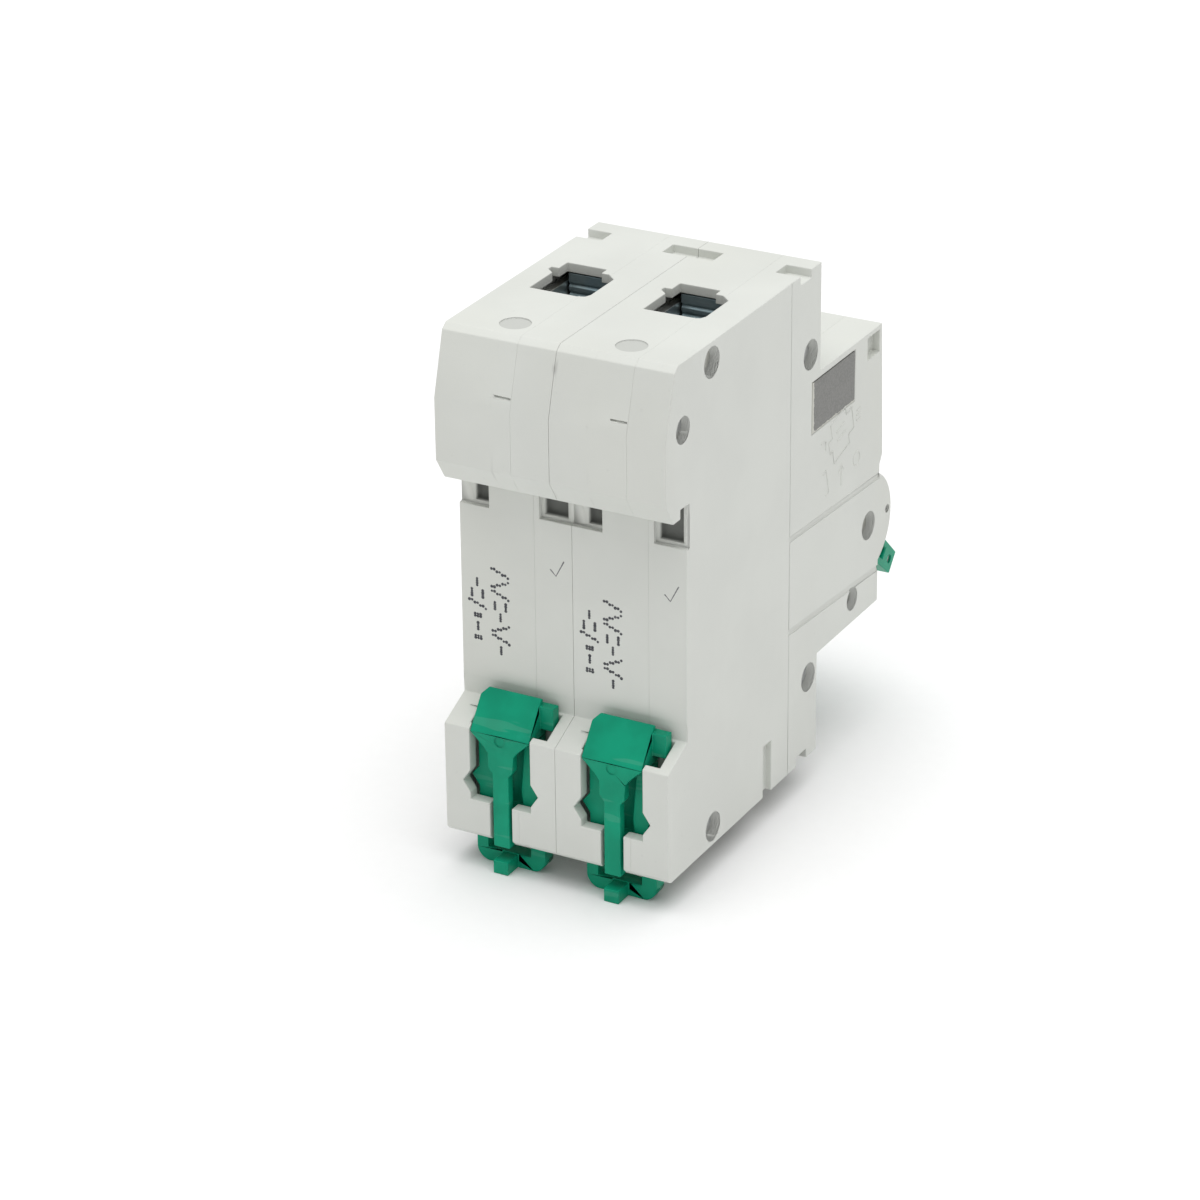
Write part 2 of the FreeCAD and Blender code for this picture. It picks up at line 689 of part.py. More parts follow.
def rail_clip(pole, tag):
    """The sliding clip: hooked head, stem, two detent legs, ring and pull tab in one moulding."""
    name = "din_clip_" + tag
    part = Moulding(name)
    half = size("clip_half")
    crease = size("foot_crease_z") - 0.2
    head = [
        ("clip_in", "clip_top"),
        (size("clip_in") + 0.5, size("clip_top") + 0.25),
        (size("foot_y") - 0.1, crease),
        (size("foot_y") - 0.1, crease - 3.0),
        ("stem_in", crease - 3.0),
        ("stem_in", crease - 0.6),
        ("clip_plate_in", crease - 0.6),
        ("clip_plate_in", size("clip_top") - 0.9),
        ("clip_in", size("clip_top") - 0.9),
    ]
    part.pad("x", [head], -half, half)
    # the head narrows to a neck and then to the stem
    for sign in (1, -1):
        shoulder = [
            (half * sign * 1.02, crease - 0.2),
            (2.7 * sign, crease - 2.2),
            (2.05 * sign, crease - 3.2),
            (half * sign * 1.02, crease - 3.2),
        ]
        part.cut("y", [shoulder], size("stem_in") - 0.1, "foot_y")
    stem = size("stem_half")
    neck = [
        (-2.05, crease - 2.9),
        (-2.05, crease - 5.4),
        (-stem, crease - 6.3),
        (-stem, "stem_low"),
        (stem, "stem_low"),
        (stem, crease - 6.3),
        (2.05, crease - 5.4),
        (2.05, crease - 2.9),
    ]
    part.pad("y", [neck], "stem_in", size("foot_y") - 0.1)
    plate = ("clip_plate_in", "clip_plate_out")
    ear = [(-half + 0.5, -16.4), (-6.9, -16.4), (-6.9, -19.9), (-half + 0.5, -19.9)]
    part.pad("y", [ear], *plate)
    for sign in (1, -1):
        leg = [
            (3.0 * sign, crease + 0.2),
            (4.7 * sign, crease + 0.2),
            (4.7 * sign, size("notch_z") + 1.6),
            (5.9 * sign, size("notch_z") + 0.1),
            (4.7 * sign, size("notch_z") - 1.5),
            (4.7 * sign, -33.2),
            (2.6 * sign, -33.2),
            (2.2 * sign, -30.0),
        ]
        part.pad("y", [leg], "clip_plate_in", 3.6)
    # the flat back joins the two legs, and one upper corner of the head is cut off
    part.pad("y", [rect(-4.5, 4.5, -33.2, crease - 0.4)], "clip_plate_in", size("clip_plate_in") + 0.9)
    corner = [(half - 1.1, size("clip_top") + 0.3), (half + 0.1, size("clip_top") + 0.3), (half + 0.1, -16.5)]
    part.cut("y", [corner], size("clip_in") - 0.1, 3.4)
    ring = size("ring_half")
    part.pad("y", [rect(-ring, ring, "ring_low", -33.0)], "clip_plate_in", 3.0)

    def ring_corner(edge, spot):
        return abs(spot.z - VALUES["ring_low"]) < 0.01 and abs(abs(spot.x) - ring.value) < 0.01

    part.round(2.2, ring_corner)
    part.cut("y", [rect(-3.2, 3.8, -40.6, -38.0)], size("clip_plate_in") - 0.1, 3.1)
    # a web joins the stem's foot to the ring, and a lip below it gives the screwdriver its hold
    part.pad("y", [rect(-stem, stem, -38.5, -36.9)], 2.8, size("stem_in") + 0.1)
    lip = [(-1.1, "ring_low"), (1.3, "ring_low"), (1.3, -40.7), (-1.1, -40.7)]
    part.pad("y", [lip], 2.9, 6.0)
    part.cut("y", [disc(0.0, crease - 0.9, 0.85)], size("foot_y") - 0.22, size("foot_y"))
    keep(part.body, name, size("pole_pitch") / 2 * pole)


def lever_frame():
    """Unit vectors of the toggle's lever: along it, and square to it (upwards), as (y, z)."""
    angle = math.radians(VALUES["lever_deg"])
    return (-math.cos(angle), -math.sin(angle)), (-math.sin(angle), math.cos(angle))


def on_lever(along, up):
    """A place on the toggle by distance along its lever and above it, as sizes for y and z."""
    turn = "Sizes.lever_deg * 1deg"
    along = size(along)
    up = size(up)
    (ay, az), (uy, uz) = lever_frame()
    y_text = "(Sizes.toggle_y - %s * cos(%s) - %s * sin(%s))" % (along.text, turn, up.text, turn)
    z_text = "(Sizes.toggle_z - %s * sin(%s) + %s * cos(%s))" % (along.text, turn, up.text, turn)
    y = Size(VALUES["toggle_y"] + along.value * ay + up.value * uy, y_text)
    z = Size(VALUES["toggle_z"] + along.value * az + up.value * uz, z_text)
    return y, z


def toggle(pole, tag):
    """A toggle: drum, hollow-sided lever, bore for its shaft and bore for the link."""
    name = "toggle_" + tag
    part = Moulding(name)
    half = size("drum_half")
    part.pad("x", [disc("toggle_y", "toggle_z", "drum_r")], -half, half)
    root = size("lever_root") / 2
    tip = size("lever_tip") / 2
    lever = [
        on_lever(5.0, -root),
        on_lever(size("lever_r"), -tip),
        on_lever(size("lever_r"), tip),
        on_lever(5.0, root),
    ]
    part.pad("x", [lever], -half, half)
    pocket = [
        on_lever(9.0, -1.1),
        on_lever(14.6, -0.9),
        on_lever(14.6, 0.9),
        on_lever(9.0, 1.1),
    ]
    part.cut("x", [pocket], half - 2.4, half + 0.1)
    part.cut("x", [pocket], -half - 0.1, 2.4 - half)
    bore = disc("toggle_y", "toggle_z", size("rivet_r") + size("rivet_clear"))
    part.cut("x", [bore], -half - 0.1, half + 0.1)
    # room at the rear for the link's leg, and its bore through the outer cheek
    gap = [
        on_lever(-1.3, 0.0),
        on_lever(-1.3, 7.4),
        on_lever(-8.5, 7.4),
        on_lever(-8.5, -7.4),
        on_lever(-1.3, -7.4),
    ]
    shaft = disc("toggle_y", "toggle_z", 2.6)
    part.cut("x", [gap], 2.2, 4.5)
    part.pad("x", [shaft], 2.1, 4.6)
    part.cut("x", [disc("toggle_y", "toggle_z", size("rivet_r") + size("rivet_clear"))], 2.0, 4.7)
    y, z = on_lever(-size("link_r"), 0.0)
    part.cut("x", [disc(y, z, 0.55)], 4.4, half + 0.1)
    y, z = on_lever("tie_at", 0.0)
    part.cut("x", [disc(y, z, "tie_r")], -half - 0.1, half + 0.1)
    # counterbore for the return spring
    part.cut("x", [disc("toggle_y", "toggle_z", 4.2)], -half - 0.1, 3.2 - half)
    part.pad("x", [disc("toggle_y", "toggle_z", 2.2)], -half + 0.2, 3.3 - half)
    part.cut("x", [bore], -half - 0.1, 3.4 - half)
    keep(part.body, name, size("pole_pitch") / 2 * pole)


def toggle_spring(pole, tag):
    """The torsion spring that throws the toggle back: closed turns joined where the wire steps across."""
    name = "toggle_spring_" + tag
    start, pitch, radius = 0.7 - VALUES["drum_half"], VALUES["torsion_pitch"], VALUES["torsion_r"]
    turns = []
    for index in range(3):
        ring = doc.addObject("Part::Torus", "%s_turn_%d" % (name, index + 1))
        bind(ring, "Radius1", size("torsion_r"))
        bind(ring, "Radius2", size("torsion_wire") / 2)
        spot = FreeCAD.Vector(start + pitch * index, VALUES["toggle_y"], VALUES["toggle_z"])
        ring.Placement = FreeCAD.Placement(spot, FreeCAD.Rotation(AXES["z"], AXES["x"]))
        turns.append(ring)
    step = rod(name + "_step", "x", start, start + 2 * pitch, VALUES["toggle_y"] + radius, "toggle_z", 0.24)
    keep(fuse(name + "_whole", turns + [step]), name, size("pole_pitch") / 2 * pole)


def toggle_link(pole, tag):
    """The wire link from the toggle's drum towards the contact arm."""
    (ay, az), _ = lever_frame()
    pin_y = VALUES["toggle_y"] - ay * VALUES["link_r"]
    pin_z = VALUES["toggle_z"] - az * VALUES["link_r"]
    open_turn = math.radians(VALUES["arm_open"])
    far_y = VALUES["arm_y"] - 4.0 * math.cos(open_turn)
    far_z = VALUES["arm_z"] + 4.0 * math.sin(open_turn)
    leg_x = 3.3
    points = [(6.2, pin_y, pin_z), (leg_x, pin_y, pin_z), (leg_x, far_y, far_z), (1.4, far_y, far_z)]
    wire = free("toggle_link_%s_raw" % tag, swept(points, 0.5))
    keep(wire, "toggle_link_" + tag, size("pole_pitch") / 2 * pole)


def on_arm(along, up):
    """A place on the contact arm at rest, as sizes for y and z."""
    turn = math.radians(VALUES["arm_open"])
    y = VALUES["arm_y"] + along * math.cos(turn) + up * math.sin(turn)
    z = VALUES["arm_z"] - along * math.sin(turn) + up * math.cos(turn)
    text = "Sizes.arm_open * 1deg"
    y_text = "(Sizes.arm_y + %r * cos(%s) + %r * sin(%s))" % (along, text, up, text)
    z_text = "(Sizes.arm_z - %r * sin(%s) + %r * cos(%s))" % (along, text, up, text)
    return Size(y, y_text), Size(z, z_text)


def contact_arm(pole, tag):
    """The moving contact arm, with its ear for the link and its contact button."""
    name = "contact_arm_" + tag
    part = Moulding(name)
    half = size("arm_half")
    thick = VALUES["arm_thick"] / 2
    reach = VALUES["arm_len"]
    part.pad("x", [disc("arm_y", "arm_z", 2.3)], -half, half)
    part.pad("x", [[
        on_arm(-4.6, -0.8), on_arm(0.0, -1.6), on_arm(reach, -thick), on_arm(reach, thick - 0.2),
        on_arm(0.0, 1.6), on_arm(-4.6, 0.8),
    ]], -half, half)
    part.pad("x", [[
        on_arm(reach - 3.4, thick - 0.3), on_arm(reach - 0.2, thick - 0.3),
        on_arm(reach - 0.2, thick + 0.6), on_arm(reach - 3.4, thick + 0.6),
    ]], -half - 0.9, half + 0.9)
    part.cut("x", [disc("arm_y", "arm_z", size("pin_r") + size("fit"))], -half - 0.1, half + 0.1)
    keep(part.body, name, size("pole_pitch") / 2 * pole)


def inner_metal(pole, tag):
    """Fixed contact, coil, frame, bobbin, plunger, bimetal, braid, arc parts and pins of a pole."""
    shift = size("pole_pitch") / 2 * pole
    arm_top = size("arm_z") + size("arm_thick") / 2 + 0.6

    pad_low = arm_top + 0.12
    fixed = fuse("fixed_contact_%s_u" % tag, [
        block("fc1" + tag, -1.9, 1.9, -28.2, -25.0, pad_low, pad_low + 0.9),
        block("fc2" + tag, -2.4, 2.4, -28.6, -22.3, pad_low + 0.8, pad_low + 2.0),
        block("fc3" + tag, -2.4, 2.4, -23.5, -22.3, pad_low + 0.8, 7.2),
    ])
    keep(fixed, "fixed_contact_" + tag, shift)

    spot = (0, VALUES["coil_front"], VALUES["coil_z"])
    turns = VALUES["coil_turns"]
    coil = coiled(VALUES["coil_r"], VALUES["coil_wire"], VALUES["coil_pitch"], turns, spot, "y")
    keep(free("trip_coil_%s_raw" % tag, coil), "trip_coil_" + tag, shift)

    thick = size("yoke_thick")
    half = size("yoke_half")
    frame = fuse("coil_frame_%s_u" % tag, [
        block("yk1" + tag, -half, half, "yoke_front", size("yoke_front") + thick, "yoke_low", "yoke_top"),
        block("yk2" + tag, -half, half, size("yoke_back") - thick, "yoke_back", "yoke_low", "yoke_top"),
        block("yk3" + tag, -half, half, "yoke_front", "yoke_back", size("yoke_top") - thick, "yoke_top"),
    ])
    bore = rod("yk4" + tag, "y", size("yoke_front") - 0.1, size("yoke_front") + thick + 0.1, 0.0, "coil_z",
               size("push_r") + 0.3)
    keep(cut("coil_frame_%s_c" % tag, frame, [bore]), "coil_frame_" + tag, shift)

    front = size("yoke_front") + thick
    back = size("yoke_back") - thick
    tube = rod("bb1" + tag, "y", front, back, 0.0, "coil_z", 3.4)
    hollow = rod("bb2" + tag, "y", front - 0.1, back + 0.1, 0.0, "coil_z", 2.85)
    keep(cut("coil_bobbin_%s_c" % tag, tube, [hollow]), "coil_bobbin_" + tag, shift)

    slug = fuse("plunger_%s_u" % tag, [
        rod("pl1" + tag, "y", "plunger_front", size("plunger_front") + size("plunger_len"), 0.0, "coil_z",
            "plunger_r"),
        rod("pl2" + tag, "y", "push_front", size("plunger_front") + 0.1, 0.0, "coil_z", "push_r"),
    ])
    keep(slug, "plunger_" + tag, shift)

    spot = (0, VALUES["yoke_front"] + VALUES["yoke_thick"] + 0.35, VALUES["coil_z"])
    spring = coiled(1.8, 0.4, 0.6, 3, spot, "y")
    keep(free("plunger_spring_%s_raw" % tag, spring), "plunger_spring_" + tag, shift)

    strip_top = size("rail_strip_z") + 1.0
    bimetal = block("bimetal_%s_b" % tag, -2.4, 2.4, "bimetal_front", size("bimetal_front") + 1.0, strip_top,
                    "bimetal_top")
    keep(group("bimetal_%s_g" % tag, [bimetal]), "bimetal_" + tag, shift)

    back = VALUES["bimetal_front"] + 1.05
    points = [(0, back, -15.2), (0, VALUES["arm_y"], -15.2), (0, VALUES["arm_y"], -8.8)]
    keep(free("braid_%s_raw" % tag, swept(points, 0.8)), "braid_" + tag, shift)

    plates = []
    for index in range(8):
        low = size("chute_low") + size("chute_step") * index
        sheet_plate = block("ap%d%s" % (index, tag), -size("plate_half"), "plate_half",
                            "chute_front", "chute_back", low, low + size("plate_thick"))
        mouth = prism("am%d%s" % (index, tag), "z",
                      [(-2.2, size("chute_front") - 0.1), (2.2, size("chute_front") - 0.1),
                       (0.5, size("chute_front") + 6.0), (-0.5, size("chute_front") + 6.0)],
                      low - 0.1, low + size("plate_thick") + 0.1)
        plates.append(cut("ac%d%s" % (index, tag), sheet_plate, [mouth]))
    keep(group("arc_plates_%s_g" % tag, plates), "arc_plates_" + tag, shift)

    cheeks = []
    for sign, mark in ((1, "p"), (-1, "n")):
        near = size("plate_half") + 0.02
        ends = (near, near + 0.6) if sign > 0 else (-near - 0.6, -near)
        cheeks.append(block("ck" + mark + tag, *ends, size("chute_front") - 0.4, size("chute_back") + 0.4,
                            size("chute_low") - 0.6, -2.2))
    keep(group("arc_cheeks_%s_g" % tag, cheeks), "arc_cheeks_" + tag, shift)

    runner = fuse("arc_runner_%s_u" % tag, [
        block("ar1" + tag, -2.2, 2.2, -25.0, size("chute_back") + 1.0, -18.2, -17.2),
        block("ar2" + tag, -2.2, 2.2, -25.0, -24.0, -18.2, -14.2),
    ])
    keep(runner, "arc_runner_" + tag, shift)

    spring = coiled(1.5, 0.4, 1.1, 7, (0, -34.2, -17.6))
    keep(free("contact_spring_%s_raw" % tag, spring), "contact_spring_" + tag, shift)

    pin = rod("pivot_pin_%s_r" % tag, "x", -inner + 0.05, inner - 0.05, "arm_y", "arm_z", "pin_r")
    keep(group("pivot_pin_%s_g" % tag, [pin]), "pivot_pin_" + tag, shift)


def trip_lever(pole, tag):
    """A pole's trip lever: one arm faces the plunger, one the bimetal, one the latch."""
    name = "trip_lever_" + tag
    part = Moulding(name)
    y, z = size("trip_y"), size("trip_z")
    part.pad("x", [disc(y, z, 2.6)], -2.0, 2.0)
    part.pad("x", [[(y - 1.2, z), (y + 4.2, z + 7.0), (y + 4.2, z + 11.5), (y + 6.0, z + 11.5),
                    (y + 6.0, z + 6.2), (y + 1.6, z)]], -2.0, 2.0)
    part.pad("x", [[(y, z + 1.4), (y - 5.2, z + 0.6), (y - 5.2, z - 3.0), (y - 3.9, z - 3.0),
                    (y - 3.9, z - 0.8), (y, z - 1.0)]], -2.0, 2.0)
    part.cut("x", [disc(y, z, "trip_r")], -2.1, 2.1)
    keep(part.body, name, size("pole_pitch") / 2 * pole)


def terminal(pole, tag, level, up):
    """Clamp cage, screw and tongue of one terminal; up is +1 at the top and -1 at the bottom."""
    shift = size("pole_pitch") / 2 * pole
    where = "top" if up > 0 else "bottom"
    key = where[0] + tag
    centre = size(level)
    half = size("cage_half")
    wall = size("cage_wall")

    name = "%s_cage_%s" % (where, tag)
    cage = Moulding(name)
    cage.pad("z", [rect("cage_left", "cage_right", "cage_front", "cage_back")], centre - half, centre + half)
    cage.cut("z", [rect(size("cage_left") + wall, size("cage_right") - wall, size("cage_front") + wall + 0.1,
                        size("cage_back") - wall)], centre - half - 0.1, centre + half + 0.1)
    cage.cut("y", [disc("screw_x", centre, size("screw_r") + size("fit"))], size("cage_front") - 0.1,
             size("cage_front") + wall + 0.2)
    keep(cage.body, name, shift)

    tongue_front = size("tongue_back") - size("tongue_thick")
    head_end = size("screw_front") + size("screw_head_len")
    screw = fuse("%s_screw_%s_u" % (where, tag), [
        rod("sc1" + key, "y", "screw_front", head_end, "screw_x", centre, "screw_head_r"),
        rod("sc2" + key, "y", head_end - 0.1, tongue_front - 0.1, "screw_x", centre, "screw_r"),
    ])
    slots = [
        block("sc3" + key, size("screw_x") - 2.1, size("screw_x") + 2.1, size("screw_front") - 0.1,
              size("screw_front") + 1.2, centre - 0.45, centre + 0.45),
        block("sc4" + key, size("screw_x") - 0.45, size("screw_x") + 0.45, size("screw_front") - 0.1,
              size("screw_front") + 1.2, centre - 2.1, centre + 2.1),
    ]
    keep(cut("%s_screw_%s_c" % (where, tag), screw, slots), "%s_screw_%s" % (where, tag), shift)

    # tongue with a plain mouth and serrations below it, and its way on to the coil or the bimetal
    if up > 0:
        ends = (size("yoke_top") + 1.2, size("top_z") - 1.7)
    else:
        ends = (size("bottom_z") + 1.7, size("rail_strip_z") + 1.0)
    plate = block("tg1" + key, "tongue_left", "tongue_right", tongue_front, "tongue_back", *ends)
    if up > 0:
        more = block("tg2" + key, 5.25, 6.3, tongue_front, "tongue_back", "coil_z", ends[0] + 1.5)
        joint = block("tg3" + key, 4.9, 6.3, tongue_front, "tongue_back", ends[0], ends[0] + 1.5)
        pieces = [plate, more, joint]
    else:
        more = block("tg2" + key, -2.8, 2.8, "bimetal_front", tongue_front + 0.1, "rail_strip_z",
                     size("rail_strip_z") + 1.0)
        pieces = [plate, more]
    solid = fuse("tg4" + key, pieces)
    grooves = []
    mouth, floor = size("tongue_back") + 0.1, size("tongue_back") - size("ridge_deep")
    for index in range(6):
        middle = centre + (size("ridge_first") - size("ridge_step") * index) * up
        vee = [(mouth, middle - size("ridge_half")), (mouth, middle + size("ridge_half")), (floor, middle)]
        grooves.append(prism("tg5%d%s" % (index, key), "x", vee,
                             size("tongue_left") - 0.1, size("tongue_right") + 0.1))
    keep(cut("%s_strip_%s_c" % (where, tag), solid, grooves), "%s_strip_%s" % (where, tag), shift)


def shared_pieces():
    """Rivets, handle tie, trip bar and side label: the pieces that span both poles."""
    face = size("pole_pitch") / 2 + outer
    bottom = face - size("sink_depth")
    rivets = []
    for index, (y, z, _) in enumerate(RIVETS):
        rivets.append(fuse("rv%d" % index, [
            rod("rv%da" % index, "x", -bottom - 0.2, bottom + 0.2, y, z, "rivet_r"),
            rod("rv%db" % index, "x", -bottom - size("rivet_head_len"), -bottom, y, z, "rivet_head_r"),
            rod("rv%dc" % index, "x", bottom, bottom + size("rivet_head_len"), y, z, "rivet_head_r"),
        ]))
    keep(group("rivets_g", rivets), "rivets")
    reach = size("pole_pitch") / 2 + size("drum_half") - 0.3
    y, z = on_lever("tie_at", 0.0)
    keep(group("handle_tie_g", [rod("handle_tie_r", "x", -reach, reach, y, z, "tie_r")]), "handle_tie")
    keep(group("trip_bar_g", [rod("trip_bar_r", "x", -15.0, 15.0, "trip_y", "trip_z", "trip_r")]), "trip_bar")
    plate = block("side_label_b", -face, size("label_thick") - face, size("label_front") + 0.15,
                  size("label_back") - 0.15, size("label_low") + 0.15, size("label_top") - 0.15)
    keep(group("side_label_g", [plate]), "side_label")


for pole_sign, pole_tag in ((1, "a"), (-1, "b")):
    pole_shells(pole_sign, pole_tag)
    rail_clip(pole_sign, pole_tag)
    toggle(pole_sign, pole_tag)
    toggle_spring(pole_sign, pole_tag)
    toggle_link(pole_sign, pole_tag)
    contact_arm(pole_sign, pole_tag)
    inner_metal(pole_sign, pole_tag)
    trip_lever(pole_sign, pole_tag)
    terminal(pole_sign, pole_tag, "screw_top_z", 1)
    terminal(pole_sign, pole_tag, "screw_low_z", -1)
shared_pieces()
doc.recompute()

for thing in doc.Objects:
    if "Invalid" in thing.State or "Error" in thing.State:
        raise RuntimeError("%s failed: %s" % (thing.Name, thing.State))
for thing in nodes:
    if thing.Shape.isNull() or not thing.Shape.isValid() or not thing.Shape.Solids:
        raise RuntimeError("%s has no sound solid" % thing.Label)

os.makedirs("parts", exist_ok=True)
for thing in nodes:
    thing.Shape.exportStep(os.path.join("parts", thing.Label + ".step"))
print("wrote %d sub-parts" % len(nodes))
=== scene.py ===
import math
import random

import bmesh
import bpy
from mathutils import Matrix, Vector


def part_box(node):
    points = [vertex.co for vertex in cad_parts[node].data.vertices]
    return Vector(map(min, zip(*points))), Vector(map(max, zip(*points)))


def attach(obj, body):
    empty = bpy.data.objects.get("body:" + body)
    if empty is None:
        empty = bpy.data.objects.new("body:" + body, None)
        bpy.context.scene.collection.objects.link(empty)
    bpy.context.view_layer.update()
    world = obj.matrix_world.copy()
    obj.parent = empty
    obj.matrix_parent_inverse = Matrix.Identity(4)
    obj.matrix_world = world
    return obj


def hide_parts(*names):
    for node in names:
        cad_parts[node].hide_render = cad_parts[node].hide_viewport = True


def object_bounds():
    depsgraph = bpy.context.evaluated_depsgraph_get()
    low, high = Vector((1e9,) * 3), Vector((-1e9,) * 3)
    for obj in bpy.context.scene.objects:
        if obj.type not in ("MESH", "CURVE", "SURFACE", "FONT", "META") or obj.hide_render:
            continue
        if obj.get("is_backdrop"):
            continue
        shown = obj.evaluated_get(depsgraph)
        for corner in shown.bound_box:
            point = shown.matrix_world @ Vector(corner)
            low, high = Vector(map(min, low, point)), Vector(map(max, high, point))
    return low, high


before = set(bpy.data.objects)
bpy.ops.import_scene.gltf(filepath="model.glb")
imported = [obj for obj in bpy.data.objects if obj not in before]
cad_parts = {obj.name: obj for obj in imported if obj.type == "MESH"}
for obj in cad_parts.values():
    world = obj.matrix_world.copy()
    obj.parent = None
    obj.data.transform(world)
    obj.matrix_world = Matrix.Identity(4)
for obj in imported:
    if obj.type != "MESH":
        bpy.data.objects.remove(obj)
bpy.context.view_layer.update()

bl_info = {
    "name": "Two-pole rail breaker",
    "version": (1, 0, 0),
    "blender": (4, 5, 0),
    "location": "3D View > Sidebar > Breaker",
    "description": "Finishes the moulded cases, clips, toggles and terminals of a rail-mounted breaker",
    "category": "Object",
}

MM = 0.001
POLES = (("a", 0.009), ("b", -0.009))
# where the poles meet, and where each base meets its cover 3 mm to one side of its pole's centre, in mm
JOINT_PLANES = (0.0, 6.0, -12.0)
# the blind pockets below the hook, whose ledges are too thin to round, in mm
POCKET_Y = (-2.3, -0.5)
POCKET_Z = (11.0, 20.0)


# ---------------------------------------------------------------- settings

def length(name, description, millimetres):
    """A size setting."""
    return bpy.props.FloatProperty(
        name=name, description=description, unit="LENGTH", default=millimetres * MM)


def tone(name, description, colour):
    """A colour setting."""
    return bpy.props.FloatVectorProperty(
        name=name, description=description, subtype="COLOR", size=3, default=colour)


class BreakerSizes(bpy.types.PropertyGroup):
    """Sizes that a user would change."""

    case_edge: length("Case edge", "Rounding of the cases' moulded edges", 0.16)
    clip_edge: length("Clip edge", "Rounding of the rail clips' edges", 0.14)
    toggle_edge: length("Toggle edge", "Rounding of the toggles' edges", 0.22)
    metal_edge: length("Metal edge", "Rounding of the terminals' edges", 0.1)
    ink_dot: length("Ink dot", "Diameter of one printed dot", 0.47)
    ink_film: length("Ink film", "Thickness of the print", 0.015)
    scribe: length("Scribed line", "Width of the raised lines on the side", 0.22)
    rivet_head: length("Rivet head", "Radius of a rivet's head", 1.65)


class BreakerColours(bpy.types.PropertyGroup):
    """Colours that a user would change."""

    case: tone("Case", "Moulded cases", (0.645, 0.66, 0.622))
    clip: tone("Clip", "Rail clips and toggles", (0.004, 0.29, 0.165))
    label: tone("Label", "Side label", (0.18, 0.18, 0.17))
    ink: tone("Ink", "Printed marks", (0.03, 0.032, 0.042))
    zinc: tone("Zinc", "Plated steel", (0.62, 0.63, 0.64))
    dark: tone("Dark steel", "Terminal strips", (0.26, 0.36, 0.4))
    copper: tone("Copper", "Coils, contacts and braids", (0.78, 0.4, 0.25))


# ---------------------------------------------------------------- shader building

class Wire:
    """A shader value; arithmetic on it adds Math nodes."""

    def __init__(self, finish, socket):
        self.finish = finish
        self.socket = socket

    def _math(self, operation, first, second):
        return self.finish.node("ShaderNodeMath", {"operation": operation}, {0: first, 1: second})

    def __add__(self, other):
        return self._math("ADD", self, other)

    def __radd__(self, other):
        return self._math("ADD", other, self)

    def __sub__(self, other):
        return self._math("SUBTRACT", self, other)

    def __rsub__(self, other):
        return self._math("SUBTRACT", other, self)

    def __mul__(self, other):
        return self._math("MULTIPLY", self, other)

    def __rmul__(self, other):
        return self._math("MULTIPLY", other, self)

    def __abs__(self):
        return self._math("ABSOLUTE", self, 0.0)

    def under(self, limit):
        """1 where the value is less than the limit."""
        return self._math("LESS_THAN", self, limit)

    def over(self, limit):
        """1 where the value is more than the limit."""
        return self._math("GREATER_THAN", self, limit)

    def step(self, low, high):
        """0 below low, 1 above high and smooth between."""
        return self.finish.node(
            "ShaderNodeMapRange", {"interpolation_type": "SMOOTHSTEP"},
            {"Value": self, "From Min": low, "From Max": high})


class Finish:
    """A material under construction."""

    def __init__(self, name, rough, metallic=0.0, **fixed):
        self.material = bpy.data.materials.new(name)
        self.material.use_nodes = True
        self.tree = self.material.node_tree
        self.tree.nodes.clear()
        self.shader = self.tree.nodes.new("ShaderNodeBsdfPrincipled")
        output = self.tree.nodes.new("ShaderNodeOutputMaterial")
        self.tree.links.new(self.shader.outputs[0], output.inputs["Surface"])
        self.shader.inputs["Roughness"].default_value = rough
        self.shader.inputs["Metallic"].default_value = metallic
        for key, value in fixed.items():
            self.shader.inputs[key.replace("_", " ")].default_value = value
        self.place = self.node("ShaderNodeTexCoord", {}, {}, "Object")

    def node(self, kind, settings, values, output=0):
        """Add a node: its settings first, then the values or links of its sockets."""
        made = self.tree.nodes.new(kind)
        for key, value in settings.items():
            setattr(made, key, value)
        for key, value in values.items():
            if isinstance(value, Wire):
                self.tree.links.new(value.socket, made.inputs[key])
            else:
                made.inputs[key].default_value = value
        return Wire(self, made.outputs[output])

    def feed(self, name, wire):
        """Link a value to one of the shader's sockets."""
        self.tree.links.new(wire.socket, self.shader.inputs[name])

    def noise(self, scale, detail=2.0, stretch=(1.0, 1.0, 1.0), shift=(0.0, 0.0, 0.0)):
        """Cloudy noise in metres, stretched along the axes."""
        spot = self.node("ShaderNodeMapping", {}, {"Vector": self.place, "Scale": stretch, "Location": shift})
        return self.node("ShaderNodeTexNoise", {}, {"Vector": spot, "Scale": scale, "Detail": detail})

    def axes(self):
        """The place on the piece as three values."""
        split = self.tree.nodes.new("ShaderNodeSeparateXYZ")
        self.tree.links.new(self.place.socket, split.inputs[0])
        return [Wire(self, split.outputs[axis]) for axis in range(3)]

    def blend(self, share, first, second):
        """A colour between two others."""
        made = self.tree.nodes.new("ShaderNodeMix")
        made.data_type = "RGBA"
        for index, value in ((0, share), (6, first), (7, second)):
            if isinstance(value, Wire):
                self.tree.links.new(value.socket, made.inputs[index])
            elif index == 0:
                made.inputs[index].default_value = value
            else:
                made.inputs[index].default_value = (*value, 1.0)
        return Wire(self, made.outputs[2])

    def bump(self, height, depth, strength=1.0):
        """Relief from a height between 0 and 1, worth depth in metres."""
        made = self.node("ShaderNodeBump", {}, {"Height": height, "Distance": depth, "Strength": strength})
        self.feed("Normal", made)


def tinted(colour, share):
    """A colour made lighter (over 1) or darker (under 1)."""
    return tuple(min(1.0, part * share) for part in colour)


